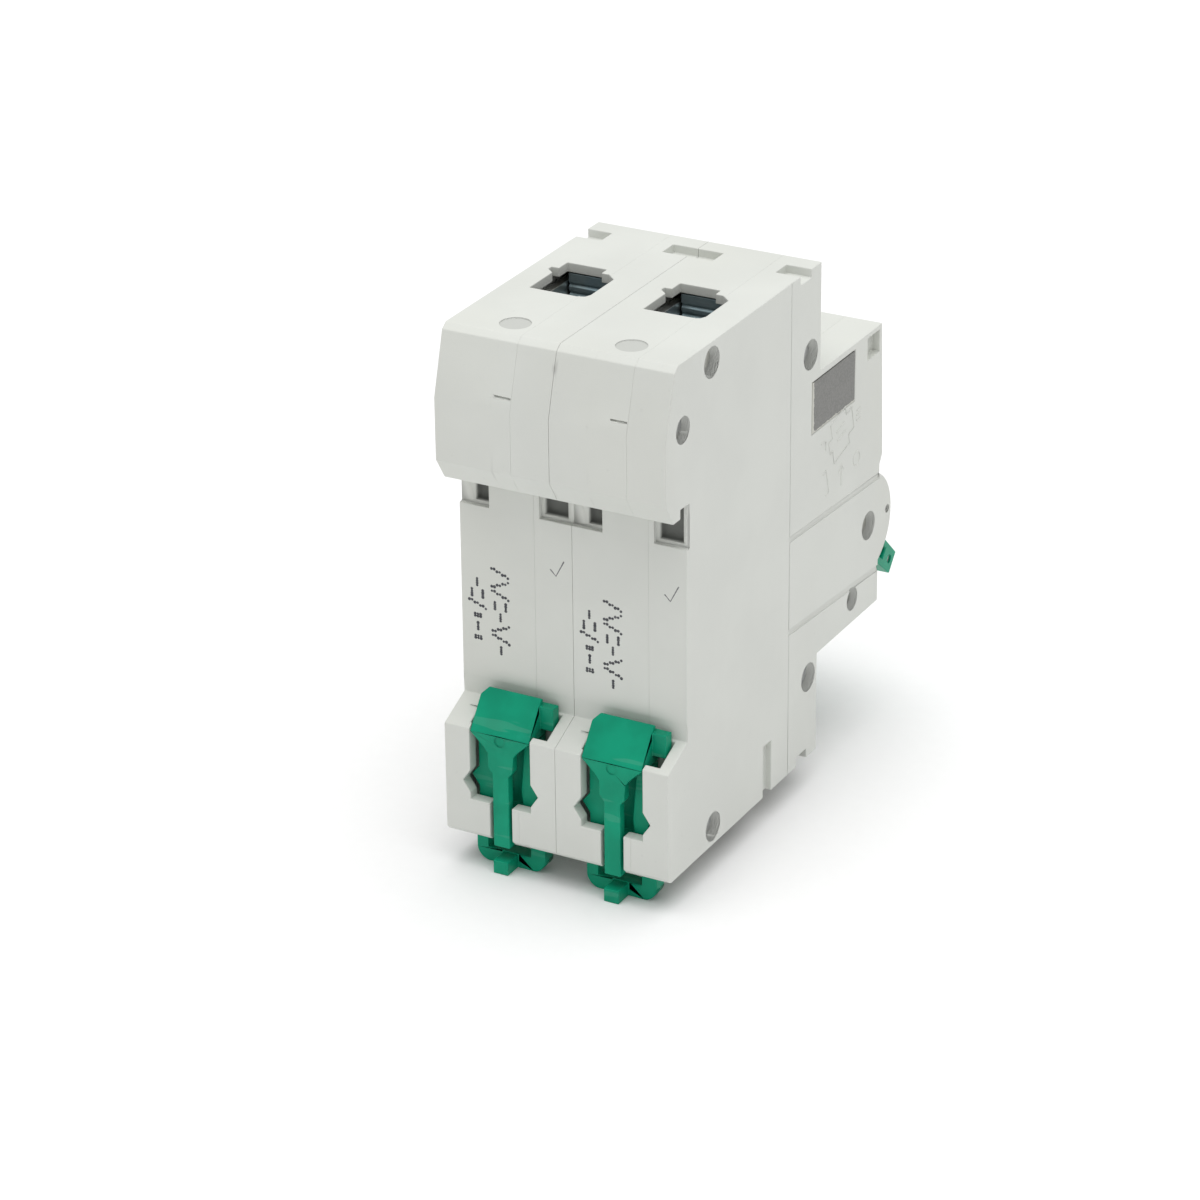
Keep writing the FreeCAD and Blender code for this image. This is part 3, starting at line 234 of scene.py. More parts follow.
def seam_painted_shade(finish, x, y, z):
    """Painted shade in a thin line where the poles meet at the rear, and fainter along two lines on the hook,
    broken up by noise.
    """
    between_poles = 1.0 - abs(x + 0.05 * MM).step(0.1 * MM, 0.6 * MM)
    on_hook = 1.0 - abs(abs(x - 1.5 * MM) - 7.5 * MM).step(0.05 * MM, 0.3 * MM)
    rear = y.step(2.5 * MM, 4.5 * MM) * z.step(14.0 * MM, 20.0 * MM)
    patch_mask = finish.noise(420.0, 4.0, (1.0, 1.0, 0.35)).step(0.47, 0.68)
    return (between_poles * 0.8 + on_hook * 0.35) * rear * patch_mask


def ejector_marks(x, y, z):
    """A dull round mark on each pole's top."""
    across = abs(x) - 9.0 * MM
    along = y + 1.2 * MM
    disc = 1.0 - (across * across + along * along).step((2.1 * MM) ** 2, (2.35 * MM) ** 2)
    return disc * z.step(39.0 * MM, 39.2 * MM)


def pocket_painted_shade(x, y, z):
    """Painted shade inside the blind pockets below the hook."""
    depth = y.step(-2.4 * MM, -2.3 * MM) * (1.0 - y.step(-1.6 * MM, -0.75 * MM))
    height = z.step(11.4 * MM, 11.8 * MM) * (1.0 - z.step(18.0 * MM, 19.5 * MM))
    return depth * height * (1.0 - abs(x).step(17.3 * MM, 17.4 * MM))


def case_finish(colour):
    """Moulded polyamide: fine grain, faint flow clouds, painted shade along the seams, ejector marks and
    painted shade in the pockets.
    """
    finish = Finish("case_plastic", 0.5, IOR=1.5)
    clouds = finish.noise(70.0, 3.0)
    flow = finish.noise(45.0, 2.0, (1.0, 1.0, 0.25), (0.3, 0.1, 0.0))
    grain = finish.noise(5200.0, 2.0)
    specks = finish.noise(900.0, 1.0, shift=(0.2, 0.5, 0.1)).step(0.76, 0.8)
    x, y, z = finish.axes()
    red, green, blue = colour
    base = finish.blend(clouds.step(0.3, 0.7), tinted(colour, 0.975), tinted(colour, 1.02))
    base = finish.blend(flow.step(0.45, 0.75) * 0.35, base, (red * 0.96, green * 0.95, blue * 0.92))
    base = finish.blend(specks * 0.12, base, tinted(colour, 0.7))
    # painted shade: a dark band along the pole joint at the rear and two fainter lines on the hook
    base = finish.blend(seam_painted_shade(finish, x, y, z) * 0.55, base, (0.2, 0.2, 0.19))
    base = finish.blend(ejector_marks(x, y, z) * 0.8, base, tinted(colour, 0.74))
    # painted shade: the pocket floors made nearly black, standing in for the shade deep in the pockets
    base = finish.blend(pocket_painted_shade(x, y, z) * 0.86, base, (0.05, 0.055, 0.048))
    finish.feed("Base Color", base)
    finish.feed("Roughness", clouds * 0.12 + 0.44 + grain * 0.05)
    finish.bump(grain, 0.02 * MM, 0.55)
    return finish.material


def green_finish(colour):
    """Satin coloured polyamide with paler rubbed patches and fine scratches."""
    finish = Finish("green_plastic", 0.36, IOR=1.5, Specular_IOR_Level=0.14)
    clouds = finish.noise(160.0, 3.0)
    grain = finish.noise(4200.0, 2.0)
    rubbed = finish.noise(260.0, 5.0, shift=(0.1, 0.4, 0.2)).step(0.6, 0.8)
    scratch = finish.noise(700.0, 2.0, (0.12, 1.0, 1.0)).step(0.62, 0.66)
    base = finish.blend(clouds.step(0.3, 0.7), tinted(colour, 0.88), tinted(colour, 1.1))
    base = finish.blend(rubbed * 0.25, base, (0.02, 0.4, 0.26))
    base = finish.blend(scratch * 0.1, base, (0.25, 0.5, 0.4))
    finish.feed("Base Color", base)
    finish.feed("Roughness", clouds * 0.12 + 0.28 + scratch * 0.12)
    finish.bump(grain * 0.7 + scratch * 0.3, 0.014 * MM, 0.5)
    return finish.material


def metal_finish(name, colour, stain, rough, metallic=1.0, along=(0.06, 1.0, 1.0)):
    """Metal with drawn or rolled marks along one axis and a mottled plated or tarnished tint."""
    finish = Finish(name, rough, metallic)
    drawn = finish.noise(2600.0, 3.0, along)
    clouds = finish.noise(330.0, 4.0)
    spots = finish.noise(1500.0, 2.0).step(0.66, 0.74)
    base = finish.blend(clouds.step(0.35, 0.7), colour, stain)
    base = finish.blend(drawn.step(0.4, 0.7) * 0.3, base, tinted(colour, 0.7))
    base = finish.blend(spots * 0.25, base, tinted(stain, 0.55))
    finish.feed("Base Color", base)
    finish.feed("Roughness", drawn * 0.18 + (rough - 0.1) + clouds * 0.06)
    finish.bump(drawn, 0.01 * MM, 0.5)
    return finish.material


def label_finish(colour):
    """Matt printed film with fine even grain."""
    finish = Finish("label_film", 0.55)
    grain = finish.noise(3800.0, 3.0)
    bands = finish.noise(240.0, 2.0, (1.0, 1.0, 3.0))
    base = finish.blend(grain.step(0.3, 0.7), tinted(colour, 0.82), tinted(colour, 1.2))
    base = finish.blend(bands.step(0.4, 0.7) * 0.3, base, tinted(colour, 1.12))
    # the film has worn back to pale glue, raggedly, along its rear and lower edges
    low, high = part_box("side_label")
    x, y, z = finish.axes()
    ragged = finish.noise(1500.0, 4.0) * (0.7 * MM)
    worn_rear = (y + ragged).over(high[1] - 0.15 * MM)
    worn_low = (z - ragged).under(low[2] - 0.12 * MM)
    patch_mask = 1.0 - (1.0 - worn_rear) * (1.0 - worn_low)
    base = finish.blend(patch_mask * 0.85, base, (0.6, 0.6, 0.54))
    finish.feed("Base Color", base)
    finish.feed("Roughness", grain * 0.2 + 0.42)
    finish.bump(grain, 0.012 * MM, 0.5)
    return finish.material


def ink_finish(name, colour, bleed):
    """Thin print that lets the plastic show through in places."""
    finish = Finish(name, 0.5)
    patchy = finish.noise(3000.0, 3.0)
    base = finish.blend(patchy.step(0.42, 0.72) * bleed, colour, (0.4, 0.4, 0.39))
    finish.feed("Base Color", base)
    finish.feed("Roughness", patchy * 0.3 + 0.35)
    return finish.material


def dark_plastic_finish(name, colour):
    """Dark moulded or pressed insulation."""
    finish = Finish(name, 0.5)
    clouds = finish.noise(380.0, 4.0)
    grain = finish.noise(4000.0, 2.0)
    finish.feed("Base Color", finish.blend(clouds.step(0.3, 0.7), tinted(colour, 0.8), tinted(colour, 1.25)))
    finish.feed("Roughness", clouds * 0.2 + 0.4)
    finish.bump(grain, 0.012 * MM, 0.5)
    return finish.material


def floor_finish():
    """Plain pale studio paper."""
    finish = Finish("studio_paper", 0.9)
    fibre = finish.noise(600.0, 3.0)
    finish.feed("Base Color", finish.blend(fibre, (0.87, 0.87, 0.87), (0.89, 0.89, 0.89)))
    return finish.material


finishes = {}


def finish_named(name):
    """The material of that name, made the first time it is asked for."""
    if name not in finishes:
        tones = bpy.context.scene.breaker_colours
        makers = {
            "case": lambda: case_finish(tuple(tones.case)),
            "green": lambda: green_finish(tuple(tones.clip)),
            "label": lambda: label_finish(tuple(tones.label)),
            "ink": lambda: ink_finish("print_ink", tuple(tones.ink), 0.25),
            "pencil": lambda: ink_finish("graphite", (0.12, 0.12, 0.13), 0.8),
            "zinc": lambda: metal_finish("zinc_plate", tuple(tones.zinc), (0.6, 0.6, 0.55), 0.34),
            "dark": lambda: metal_finish("dark_plate", tuple(tones.dark), (0.3, 0.38, 0.4), 0.42, 0.7),
            "spring": lambda: metal_finish("spring_wire", (0.42, 0.42, 0.43), (0.33, 0.33, 0.34), 0.3),
            "copper": lambda: metal_finish("bare_copper", tuple(tones.copper), (0.55, 0.27, 0.17), 0.32),
            "bimetal": lambda: metal_finish("bimetal_strip", (0.56, 0.53, 0.48), (0.46, 0.42, 0.36), 0.35),
            "bobbin": lambda: dark_plastic_finish("bobbin_plastic", (0.035, 0.035, 0.038)),
            "fibre": lambda: dark_plastic_finish("pressed_fibre", (0.32, 0.27, 0.2)),
            "paper": floor_finish,
        }
        finishes[name] = makers[name]()
    return finishes[name]


# ---------------------------------------------------------------- mesh building

def add_piece(name, mesh, finish, body, nodes=()):
    """Link a finished mesh as a piece that rides on a body."""
    piece = bpy.data.objects.new(name, mesh)
    bpy.context.scene.collection.objects.link(piece)
    mesh.materials.clear()
    mesh.materials.append(finish_named(finish))
    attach(piece, body)
    if nodes:
        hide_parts(*nodes)
    return piece


def settled(thing):
    """The object's evaluated shape as a plain mesh; the object is removed."""
    bpy.context.view_layer.update()
    ready = thing.evaluated_get(bpy.context.evaluated_depsgraph_get())
    mesh = bpy.data.meshes.new_from_object(ready)
    bpy.data.objects.remove(thing)
    return mesh


def at_joint(edge):
    """Whether an edge lies on a plane where two case halves or two poles meet."""
    level, close = 0.02 * MM, 0.1 * MM
    first, second = (vertex.co.x for vertex in edge.verts)
    if abs(first - second) > level:
        return False
    return any(abs(first - plane * MM) < close for plane in JOINT_PLANES)


def in_pocket(edge):
    """Whether an edge lies deep in the pockets below the hook."""
    (front, rear), (foot, top) = POCKET_Y, POCKET_Z
    return all(
        front * MM < vertex.co.y < rear * MM and foot * MM < vertex.co.z < top * MM for vertex in edge.verts)


def rounding(edge, width, sharp):
    """The share of the width that rounds an edge: 1, less at a joint, or 0 where it is short or thin."""
    shortest, thinnest, joint_share = 2.2 * width, 0.7 * width, 0.3
    length = edge.calc_length()
    turned = len(edge.link_faces) == 2 and edge.calc_face_angle(0.0) > math.radians(sharp)
    if not turned or length <= shortest or in_pocket(edge):
        return 0.0
    if min(face.calc_area() / length for face in edge.link_faces) <= thinnest:
        return 0.0
    return joint_share if at_joint(edge) else 1.0


def softened(node, width, segments=2, sharp=28.0):
    """A copy of a CAD node with its faces made whole and its edges rounded, least at the joints."""
    weld, flat = 0.002 * MM, 0.8
    shell = bmesh.new()
    shell.from_mesh(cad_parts[node].data)
    bmesh.ops.remove_doubles(shell, verts=shell.verts, dist=weld)
    bmesh.ops.dissolve_limit(shell, angle_limit=math.radians(flat), verts=shell.verts, edges=shell.edges)
    weight = shell.edges.layers.float.new("bevel_weight_edge")
    for edge in shell.edges:
        edge[weight] = rounding(edge, width, sharp)
    mesh = bpy.data.meshes.new(node + "_soft")
    shell.to_mesh(mesh)
    shell.free()
    for face in mesh.polygons:
        face.use_smooth = True
    thing = bpy.data.objects.new(node + "_soft", mesh)
    bpy.context.scene.collection.objects.link(thing)
    bevel = thing.modifiers.new("round", "BEVEL")
    bevel.limit_method = "WEIGHT"
    bevel.width = width
    bevel.segments = segments
    bevel.use_clamp_overlap = False
    bevel.harden_normals = True
    even = thing.modifiers.new("even", "WEIGHTED_NORMAL")
    even.keep_sharp = True
    return settled(thing)


def points_mesh(name, spots):
    """Loose points for a node tree to build on."""
    mesh = bpy.data.meshes.new(name)
    mesh.from_pydata([tuple(spot) for spot in spots], [], [])
    return mesh


class Builder:
    """A Geometry Nodes tree under construction."""

    def __init__(self, name, sizes):
        self.tree = bpy.data.node_groups.new(name, "GeometryNodeTree")
        face = self.tree.interface
        face.new_socket("Geometry", in_out="INPUT", socket_type="NodeSocketGeometry")
        self.sizes = {}
        for label, value in sizes.items():
            socket = face.new_socket(label, in_out="INPUT", socket_type="NodeSocketFloat")
            self.sizes[label] = (socket.identifier, value)
        face.new_socket("Geometry", in_out="OUTPUT", socket_type="NodeSocketGeometry")
        self.entry = self.tree.nodes.new("NodeGroupInput")
        self.exit = self.tree.nodes.new("NodeGroupOutput")

    def node(self, kind, settings=(), values=()):
        """Add a node: settings first, then the values or links of its sockets."""
        made = self.tree.nodes.new(kind)
        for key, value in dict(settings).items():
            setattr(made, key, value)
        for key, value in dict(values).items():
            if isinstance(value, bpy.types.NodeSocket):
                self.tree.links.new(value, made.inputs[key])
            else:
                made.inputs[key].default_value = value
        return made

    def end(self, geometry, material):
        """Finish the tree with realised instances and a material."""
        whole = self.node("GeometryNodeRealizeInstances", (), {"Geometry": geometry})
        dressed = self.node("GeometryNodeSetMaterial", (), {"Geometry": whole.outputs[0]})
        dressed.inputs["Material"].default_value = material
        self.tree.links.new(dressed.outputs[0], self.exit.inputs[0])

    def run(self, mesh):
        """The tree's result on a mesh, as a plain mesh."""
        thing = bpy.data.objects.new(mesh.name, mesh)
        bpy.context.scene.collection.objects.link(thing)
        step = thing.modifiers.new("build", "NODES")
        step.node_group = self.tree
        for identifier, value in self.sizes.values():
            step[identifier] = value
        return settled(thing)


def domed_heads(spots, radius, height, finish):
    """Low domed heads that face along X both ways, one for each point."""
    builder = Builder("rivet_heads", {"Radius": radius, "Height": height})
    size = builder.entry.outputs
    dome = builder.node(
        "GeometryNodeMeshUVSphere", (), {"Segments": 32, "Rings": 12, "Radius": size["Radius"]})
    ratio = builder.node("ShaderNodeMath", {"operation": "DIVIDE"}, {0: size["Height"], 1: size["Radius"]})
    squash = builder.node("ShaderNodeCombineXYZ", (), {"X": ratio.outputs[0], "Y": 1.0, "Z": 1.0})
    flat = builder.node(
        "GeometryNodeTransform", (), {"Geometry": dome.outputs["Mesh"], "Scale": squash.outputs[0]})
    smooth = builder.node("GeometryNodeSetShadeSmooth", (), {"Geometry": flat.outputs[0]})
    placed = builder.node(
        "GeometryNodeInstanceOnPoints", (), {"Points": size["Geometry"], "Instance": smooth.outputs[0]})
    builder.end(placed.outputs[0], finish)
    return builder.run(points_mesh("rivet_points", spots))


def printed_dots(name, spots, diameter, film, finish):
    """Flat round dots of ink facing +Y, one for each point, each a little different in size."""
    builder = Builder(name, {"Diameter": diameter, "Film": film})
    size = builder.entry.outputs
    half = builder.node("ShaderNodeMath", {"operation": "MULTIPLY"}, {0: size["Diameter"], 1: 0.5})
    disc = builder.node(
        "GeometryNodeMeshCylinder", (),
        {"Vertices": 12, "Radius": half.outputs[0], "Depth": size["Film"]})
    facing = builder.node(
        "GeometryNodeTransform", (),
        {"Geometry": disc.outputs["Mesh"], "Rotation": (math.radians(90), 0.0, 0.0)})
    varied = builder.node(
        "FunctionNodeRandomValue", {"data_type": "FLOAT"}, {2: 0.8, 3: 1.12, "Seed": 7})
    placed = builder.node(
        "GeometryNodeInstanceOnPoints", (),
        {"Points": size["Geometry"], "Instance": facing.outputs[0], "Scale": varied.outputs[1]})
    builder.end(placed.outputs[0], finish)
    return builder.run(points_mesh(name + "_points", spots))


def strokes_mesh(name, strokes, width, height, across, up, origin, normal):
    """Thin raised lines: each stroke a run of flat (across, up) points on a plane."""
    curve = bpy.data.curves.new(name, "CURVE")
    curve.dimensions = "3D"
    curve.bevel_depth = width / 2
    curve.bevel_resolution = 2
    curve.use_fill_caps = True
    for stroke in strokes:
        spline = curve.splines.new("POLY")
        spline.points.add(len(stroke) - 1)
        for point, (a, b) in zip(spline.points, stroke):
            spot = origin + across * a + up * b
            point.co = (*spot, 1.0)
    thing = bpy.data.objects.new(name, curve)
    bpy.context.scene.collection.objects.link(thing)
    mesh = settled(thing)
    # the round lines are flattened against the surface
    flatten = height / (width / 2)
    level = origin.dot(normal)
    for vertex in mesh.vertices:
        away = vertex.co.dot(normal) - level
        vertex.co += normal * (away * (flatten - 1.0))
    for face in mesh.polygons:
        face.use_smooth = True
    return mesh


# ---------------------------------------------------------------- operators

class BREAKER_OT_cases(bpy.types.Operator):
    """Finish the four moulded case halves"""

    bl_idname = "breaker.cases"
    bl_label = "Cases"

    def execute(self, context):
        width = context.scene.breaker_sizes.case_edge
        for tag, _ in POLES:
            for half in ("base_shell_", "cover_shell_"):
                node = half + tag
                add_piece("moulded_" + node, softened(node, width), "case", "housing", [node])
        return {"FINISHED"}


class BREAKER_OT_clips(bpy.types.Operator):
    """Finish the two sliding rail clips"""

    bl_idname = "breaker.clips"
    bl_label = "Rail clips"

    def execute(self, context):
        width = context.scene.breaker_sizes.clip_edge
        for tag, _ in POLES:
            node = "din_clip_" + tag
            add_piece("moulded_" + node, softened(node, width), "green", "clip_" + tag, [node])
        return {"FINISHED"}


class BREAKER_OT_toggles(bpy.types.Operator):
    """Finish the two tied toggles"""

    bl_idname = "breaker.toggles"
    bl_label = "Toggles"

    def execute(self, context):
        width = context.scene.breaker_sizes.toggle_edge
        for tag, _ in POLES:
            node = "toggle_" + tag
            add_piece("moulded_" + node, softened(node, width, 3), "green", "toggles", [node])
        return {"FINISHED"}


class BREAKER_OT_terminals(bpy.types.Operator):
    """Finish the clamp screws, cages and serrated tongues"""

    bl_idname = "breaker.terminals"
    bl_label = "Terminals"

    def execute(self, context):
        width = context.scene.breaker_sizes.metal_edge
        for tag, _ in POLES:
            for where in ("top", "bottom"):
                rows = (
                    ("%s_screw_%s", "zinc", "%s_driver_%s", "zinc_steel"),
                    ("%s_cage_%s", "zinc", "%s_clamp_%s", "zinc_steel"),
                    ("%s_strip_%s", "dark", None, "dark_steel"),
                )
                for pattern, finish, rides, slot in rows:
                    node = pattern % (where, tag)
                    body = rides % (where, tag) if rides else "housing"
                    add_piece("worked_" + node, softened(node, width), finish, body, [node])
        return {"FINISHED"}


# where the rivets are, as (y, z) in mm, and how far a head stands proud
RIVET_RISE = 0.5 * MM
RIVET_SPOTS = (
    (-7.4, 36.6), (1.1, 29.8), (-38.2, 26.6), (-58.6, -8.2), (-53.3, -18.1), (-38.5, -24.6), (-7.9, -34.9),
)


class BREAKER_OT_rivets(bpy.types.Operator):
    """Put low domed heads on the rivets in their recesses"""

    bl_idname = "breaker.rivets"
    bl_label = "Rivets"

    def execute(self, context):
        radius = context.scene.breaker_sizes.rivet_head
        low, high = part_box("rivets")
        faces = (low[0] + RIVET_RISE, high[0] - RIVET_RISE)
        spots = [Vector((face, y * MM, z * MM)) for y, z in RIVET_SPOTS for face in faces]
        mesh = domed_heads(spots, radius, RIVET_RISE, finish_named("zinc"))
        add_piece("rivet_domes", mesh, "zinc", "housing")
        return {"FINISHED"}


# the made-up print: the pitch of its dots, its two lines as (first row's x, lowest z, cells) with places
# in mm, and how much lower the print lies on each pole, in mm
PRINT_ROW, PRINT_COLUMN = 0.44 * MM, 0.345 * MM
PRINT_LINES = ((7.7, -9.4, 6), (4.0, -10.8, 8))
PRINT_DROPS = (0.0, 1.2)
PRINT_SEED = 11
CELL_COLUMNS = 5
# its shapes, as (row, column) dots in a cell of seven rows and four columns
PRINT_SHAPES = (
    ((0, 0), (1, 0), (2, 1), (3, 1), (4, 2), (5, 2), (6, 3)),
    ((0, 3), (1, 3), (2, 2), (3, 2), (4, 1), (5, 1), (6, 0)),
    ((1, 0), (1, 1), (1, 2), (1, 3), (5, 0), (5, 1), (5, 2), (5, 3)),
    ((2, 1), (2, 2), (3, 1), (3, 2), (4, 1), (4, 2)),
    ((3, 0), (3, 1), (3, 2), (3, 3)),
)


def print_line(rng, cells):
    """The dots of one line of print that spells nothing, as (row, column)."""
    dots = []
    last = None
    for cell in range(cells):
        shape = rng.choice([item for item in PRINT_SHAPES if item is not last])
        last = shape
        dots += [(row, column + CELL_COLUMNS * cell) for row, column in shape]
    return dots


ACROSS, REARWARD, UP = Vector((1, 0, 0)), Vector((0, 1, 0)), Vector((0, 0, 1))
# the check stroke, in mm across and up
CHECK_STROKE = ((0.0, 0.0), (0.9, -0.9), (2.2, 1.6))
# the moulded side picture: a module tilted off its rail, an arrow and some ticks, in mm across and up
SCRIBED = (
    [(4.6, 11.4), (9.4, 12.7), (9.8, 11.3), (11.6, 11.8), (12.5, 8.3), (10.7, 7.8), (11.1, 6.4), (5.9, 5.0),
     (5.3, 7.2), (4.5, 7.0), (4.0, 8.8), (5.2, 9.2), (4.6, 11.4)],
    [(1.6, 9.6), (3.0, 9.6), (3.0, 8.2)],
    [(2.2, 4.6), (3.2, 4.9), (4.2, 1.2), (3.2, 0.9)],
    [(8.4, 0.6), (8.4, 3.9)],
    [(7.5, 2.9), (8.4, 3.9), (9.3, 2.9)],
    [(6.6, 9.6), (9.2, 10.3)],
    [(7.0, 8.2), (9.6, 8.9)],
    [(13.4, 10.6), (14.6, 10.6)],
    [(13.4, 9.8), (14.6, 9.8)],
    [(13.4, 9.0), (14.6, 9.0)],
)


def add_print(tag, centre, drop, sizes):
    """Two lines of dots that read upwards on a pole's rear."""
    rng = random.Random(PRINT_SEED)
    spots = []
    for start, low, cells in PRINT_LINES:
        for row, column in print_line(rng, cells):
            x = centre + start * MM - row * PRINT_ROW
            z = (low - drop) * MM + column * PRINT_COLUMN
            spots.append(Vector((x, sizes.ink_film / 2, z)))
    mesh = printed_dots("ink_dots_" + tag, spots, sizes.ink_dot, sizes.ink_film, finish_named("ink"))
    add_piece("ink_dots_" + tag, mesh, "ink", "housing")


def add_check(tag, centre):
    """A check stroke in pencil on a pole's rear."""
    width, film = 0.2 * MM, 0.012 * MM
    stroke = [(a * MM, b * MM) for a, b in CHECK_STROKE]
    origin = Vector((centre - 5.5 * MM, 0.0, 4.2 * MM))
    mesh = strokes_mesh("check_" + tag, [stroke], width, film, -ACROSS, UP, origin, REARWARD)
    add_piece("check_stroke_" + tag, mesh, "pencil", "housing")


def add_side_picture(width):
    """The raised outline on the side of pole b, with a ring below it."""
    steps, ring_radius, ring_spot, height = 16, 1.1, (13.6, 2.9), 0.1 * MM
    turns = [2 * math.pi * step / steps for step in range(steps + 1)]
    ring = [(ring_spot[0] + ring_radius * math.cos(turn), ring_spot[1] + ring_radius * math.sin(turn))
            for turn in turns]
    strokes = [[(a * MM, b * MM) for a, b in line] for line in (*SCRIBED, ring)]
    low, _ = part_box("cover_shell_b")
    origin = Vector((low[0], -40.5 * MM, 1.6 * MM))
    mesh = strokes_mesh("scribed", strokes, width, height, -REARWARD, UP, origin, -ACROSS)
    add_piece("scribed_side_picture", mesh, "case", "housing")


class BREAKER_OT_marks(bpy.types.Operator):
    """Print the dot patterns, the check stroke and the scribed lines"""

    bl_idname = "breaker.marks"
    bl_label = "Marks"

    def execute(self, context):
        sizes = context.scene.breaker_sizes
        for (tag, centre), drop in zip(POLES, PRINT_DROPS):
            add_print(tag, centre, drop, sizes)
            add_check(tag, centre)
        add_side_picture(sizes.scribe)
        return {"FINISHED"}


class BREAKER_OT_label(bpy.types.Operator):
    """Finish the side label"""

    bl_idname = "breaker.label"
    bl_label = "Label"

    def execute(self, context):
        edge = 0.05 * MM
        mesh = softened("side_label", edge)
        add_piece("film_side_label", mesh, "label", "housing", ["side_label"])
        return {"FINISHED"}


INNER_FINISHES = {
    "toggle_spring_": "spring", "toggle_link_": "zinc", "contact_arm_": "copper", "fixed_contact_": "copper",
    "trip_coil_": "copper", "coil_frame_": "zinc", "coil_bobbin_": "bobbin", "plunger_spring_": "spring",
    "plunger_": "zinc", "bimetal_": "bimetal", "braid_": "copper", "arc_plates_": "zinc",
    "arc_cheeks_": "fibre", "arc_runner_": "zinc", "contact_spring_": "spring", "pivot_pin_": "zinc",
    "trip_lever_": "bobbin",
}


class BREAKER_OT_insides(bpy.types.Operator):
    """Give the pieces inside the cases their finishes"""

    bl_idname = "breaker.insides"
    bl_label = "Insides"

    def execute(self, context):
        chosen = {"rivets": "zinc", "handle_tie": "zinc", "trip_bar": "bobbin"}
        for stem, finish in INNER_FINISHES.items():
            for tag, _ in POLES:
                chosen[stem + tag] = finish
        for node, finish in chosen.items():
            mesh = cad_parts[node].data
            mesh.materials.clear()
            mesh.materials.append(finish_named(finish))
        return {"FINISHED"}


# each lamp's name, kind, place in metres, width (in radians for the sun, else in metres) and power
LAMPS = (
    ("overhead_light", "SUN", (-0.08, 0.0, 1.0), 1.2, 2.4),
    ("rear_light", "AREA", (0.75, 0.85, 0.5), 0.7, 0.3),
)
LAMP_AIM = Vector((0, -0.02, 0))
AIR_STRENGTH = 0.5
FLOOR_HALF = 3.0
# the camera's place in metres, its direction in degrees round, up and rolled, and its lens in mm
CAMERA_SPOT = (-0.2650, 0.4745, 0.2566)
CAMERA_TURN = (208.78, 25.26, -0.637)
CAMERA_LENS = 129.3
CAMERA_SENSOR = 36.0
CAMERA_NEAR = 0.01


def lay_floor(scene):
    """A wide pale floor at the piece's lowest point."""
    low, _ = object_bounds()
    grid = bmesh.new()
    bmesh.ops.create_grid(grid, x_segments=8, y_segments=8, size=FLOOR_HALF)
    mesh = bpy.data.meshes.new("studio_floor")
    grid.to_mesh(mesh)
    grid.free()
    mesh.transform(Matrix.Translation((0, 0, low[2])))
    mesh.materials.append(finish_named("paper"))
    ground = bpy.data.objects.new("studio_floor", mesh)
    scene.collection.objects.link(ground)
    ground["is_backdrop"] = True


def hang_lamps(scene):
    """The lamps, each turned to the piece."""
    for name, kind, spot, width, power in LAMPS:
        lamp = bpy.data.lights.new(name, kind)
        lamp.energy = power
        if kind == "SUN":
            lamp.angle = width
        else:
            lamp.shape = "SQUARE"
            lamp.size = width
        holder = bpy.data.objects.new(name, lamp)
        holder.location = spot
        holder.rotation_euler = (LAMP_AIM - Vector(spot)).to_track_quat("-Z", "Y").to_euler()
        scene.collection.objects.link(holder)


def fill_air(scene):
    """Even white light from all round."""
    world = bpy.data.worlds.new("studio_air")
    world.use_nodes = True
    sky = world.node_tree.nodes["Background"]
    sky.inputs["Color"].default_value = (1.0, 1.0, 1.0, 1.0)
    sky.inputs["Strength"].default_value = AIR_STRENGTH
    scene.world = world


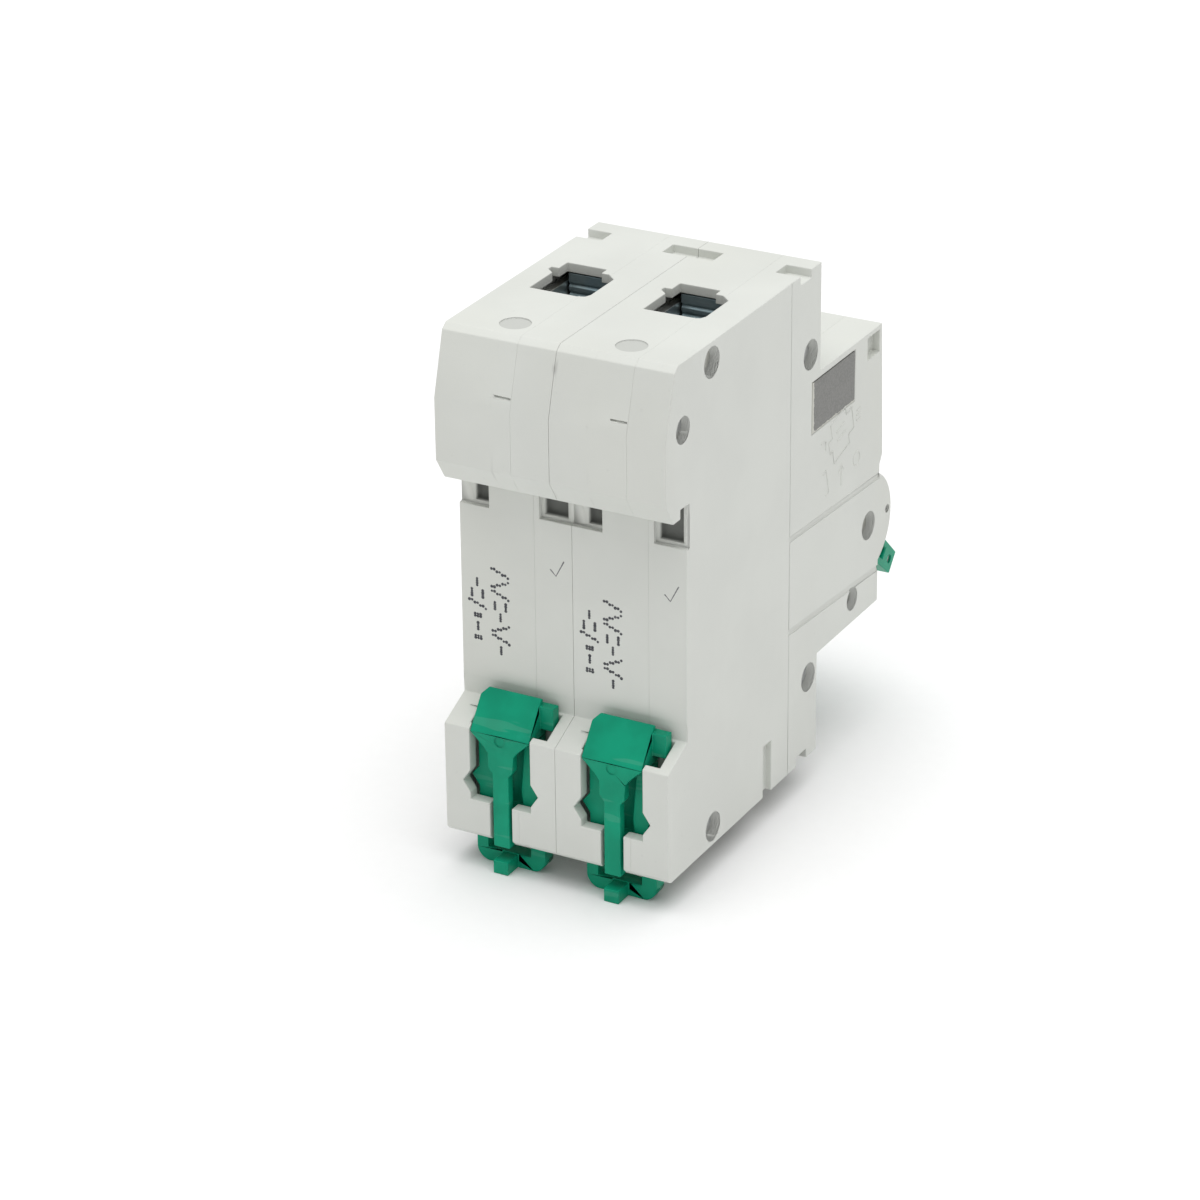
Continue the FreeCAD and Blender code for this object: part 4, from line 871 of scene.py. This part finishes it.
def set_camera(scene):
    """The camera behind and above the piece."""
    camera = bpy.data.cameras.new("studio_camera")
    camera.sensor_width = CAMERA_SENSOR
    camera.lens = CAMERA_LENS
    camera.clip_start = CAMERA_NEAR
    azimuth, elevation, roll = (math.radians(value) for value in CAMERA_TURN)
    back = Vector((
        math.sin(azimuth) * math.cos(elevation),
        -math.cos(azimuth) * math.cos(elevation),
        math.sin(elevation),
    ))
    right = UP.cross(back).normalized()
    over = back.cross(right)
    rolled_right = right * math.cos(roll) + over * math.sin(roll)
    rolled_over = over * math.cos(roll) - right * math.sin(roll)
    turn = Matrix((rolled_right, rolled_over, back)).transposed().to_4x4()
    view = bpy.data.objects.new("studio_camera", camera)
    view.matrix_world = Matrix.Translation(CAMERA_SPOT) @ turn
    scene.collection.objects.link(view)
    scene.camera = view


class BREAKER_OT_studio(bpy.types.Operator):
    """Lay the pale floor and set the lights and the camera"""

    bl_idname = "breaker.studio"
    bl_label = "Studio"

    def execute(self, context):
        scene = context.scene
        lay_floor(scene)
        hang_lamps(scene)
        fill_air(scene)
        scene.view_settings.view_transform = "Standard"
        set_camera(scene)
        return {"FINISHED"}


STEPS = (
    BREAKER_OT_cases, BREAKER_OT_clips, BREAKER_OT_toggles, BREAKER_OT_terminals, BREAKER_OT_rivets,
    BREAKER_OT_marks, BREAKER_OT_label, BREAKER_OT_insides, BREAKER_OT_studio,
)


class BREAKER_PT_panel(bpy.types.Panel):
    """Lists the breaker's pieces in the order they are made"""

    bl_idname = "BREAKER_PT_panel"
    bl_label = "Breaker"
    bl_space_type = "VIEW_3D"
    bl_region_type = "UI"
    bl_category = "Breaker"

    def draw(self, context):
        scene = context.scene
        for group in (scene.breaker_sizes, scene.breaker_colours):
            box = self.layout.box()
            for name in group.__annotations__:
                box.prop(group, name)
        for step in STEPS:
            self.layout.operator(step.bl_idname)


CLASSES = (BreakerSizes, BreakerColours, *STEPS, BREAKER_PT_panel)


def register():
    """Add the classes and the scene's settings."""
    for item in CLASSES:
        bpy.utils.register_class(item)
    bpy.types.Scene.breaker_sizes = bpy.props.PointerProperty(type=BreakerSizes)
    bpy.types.Scene.breaker_colours = bpy.props.PointerProperty(type=BreakerColours)


def unregister():
    """Take them away again."""
    del bpy.types.Scene.breaker_colours
    del bpy.types.Scene.breaker_sizes
    for item in reversed(CLASSES):
        bpy.utils.unregister_class(item)


def main():
    """Make every piece in order."""
    register()
    for step in STEPS:
        group, name = step.bl_idname.split(".")
        getattr(getattr(bpy.ops, group), name)()


if __name__ == "__main__":
    main()
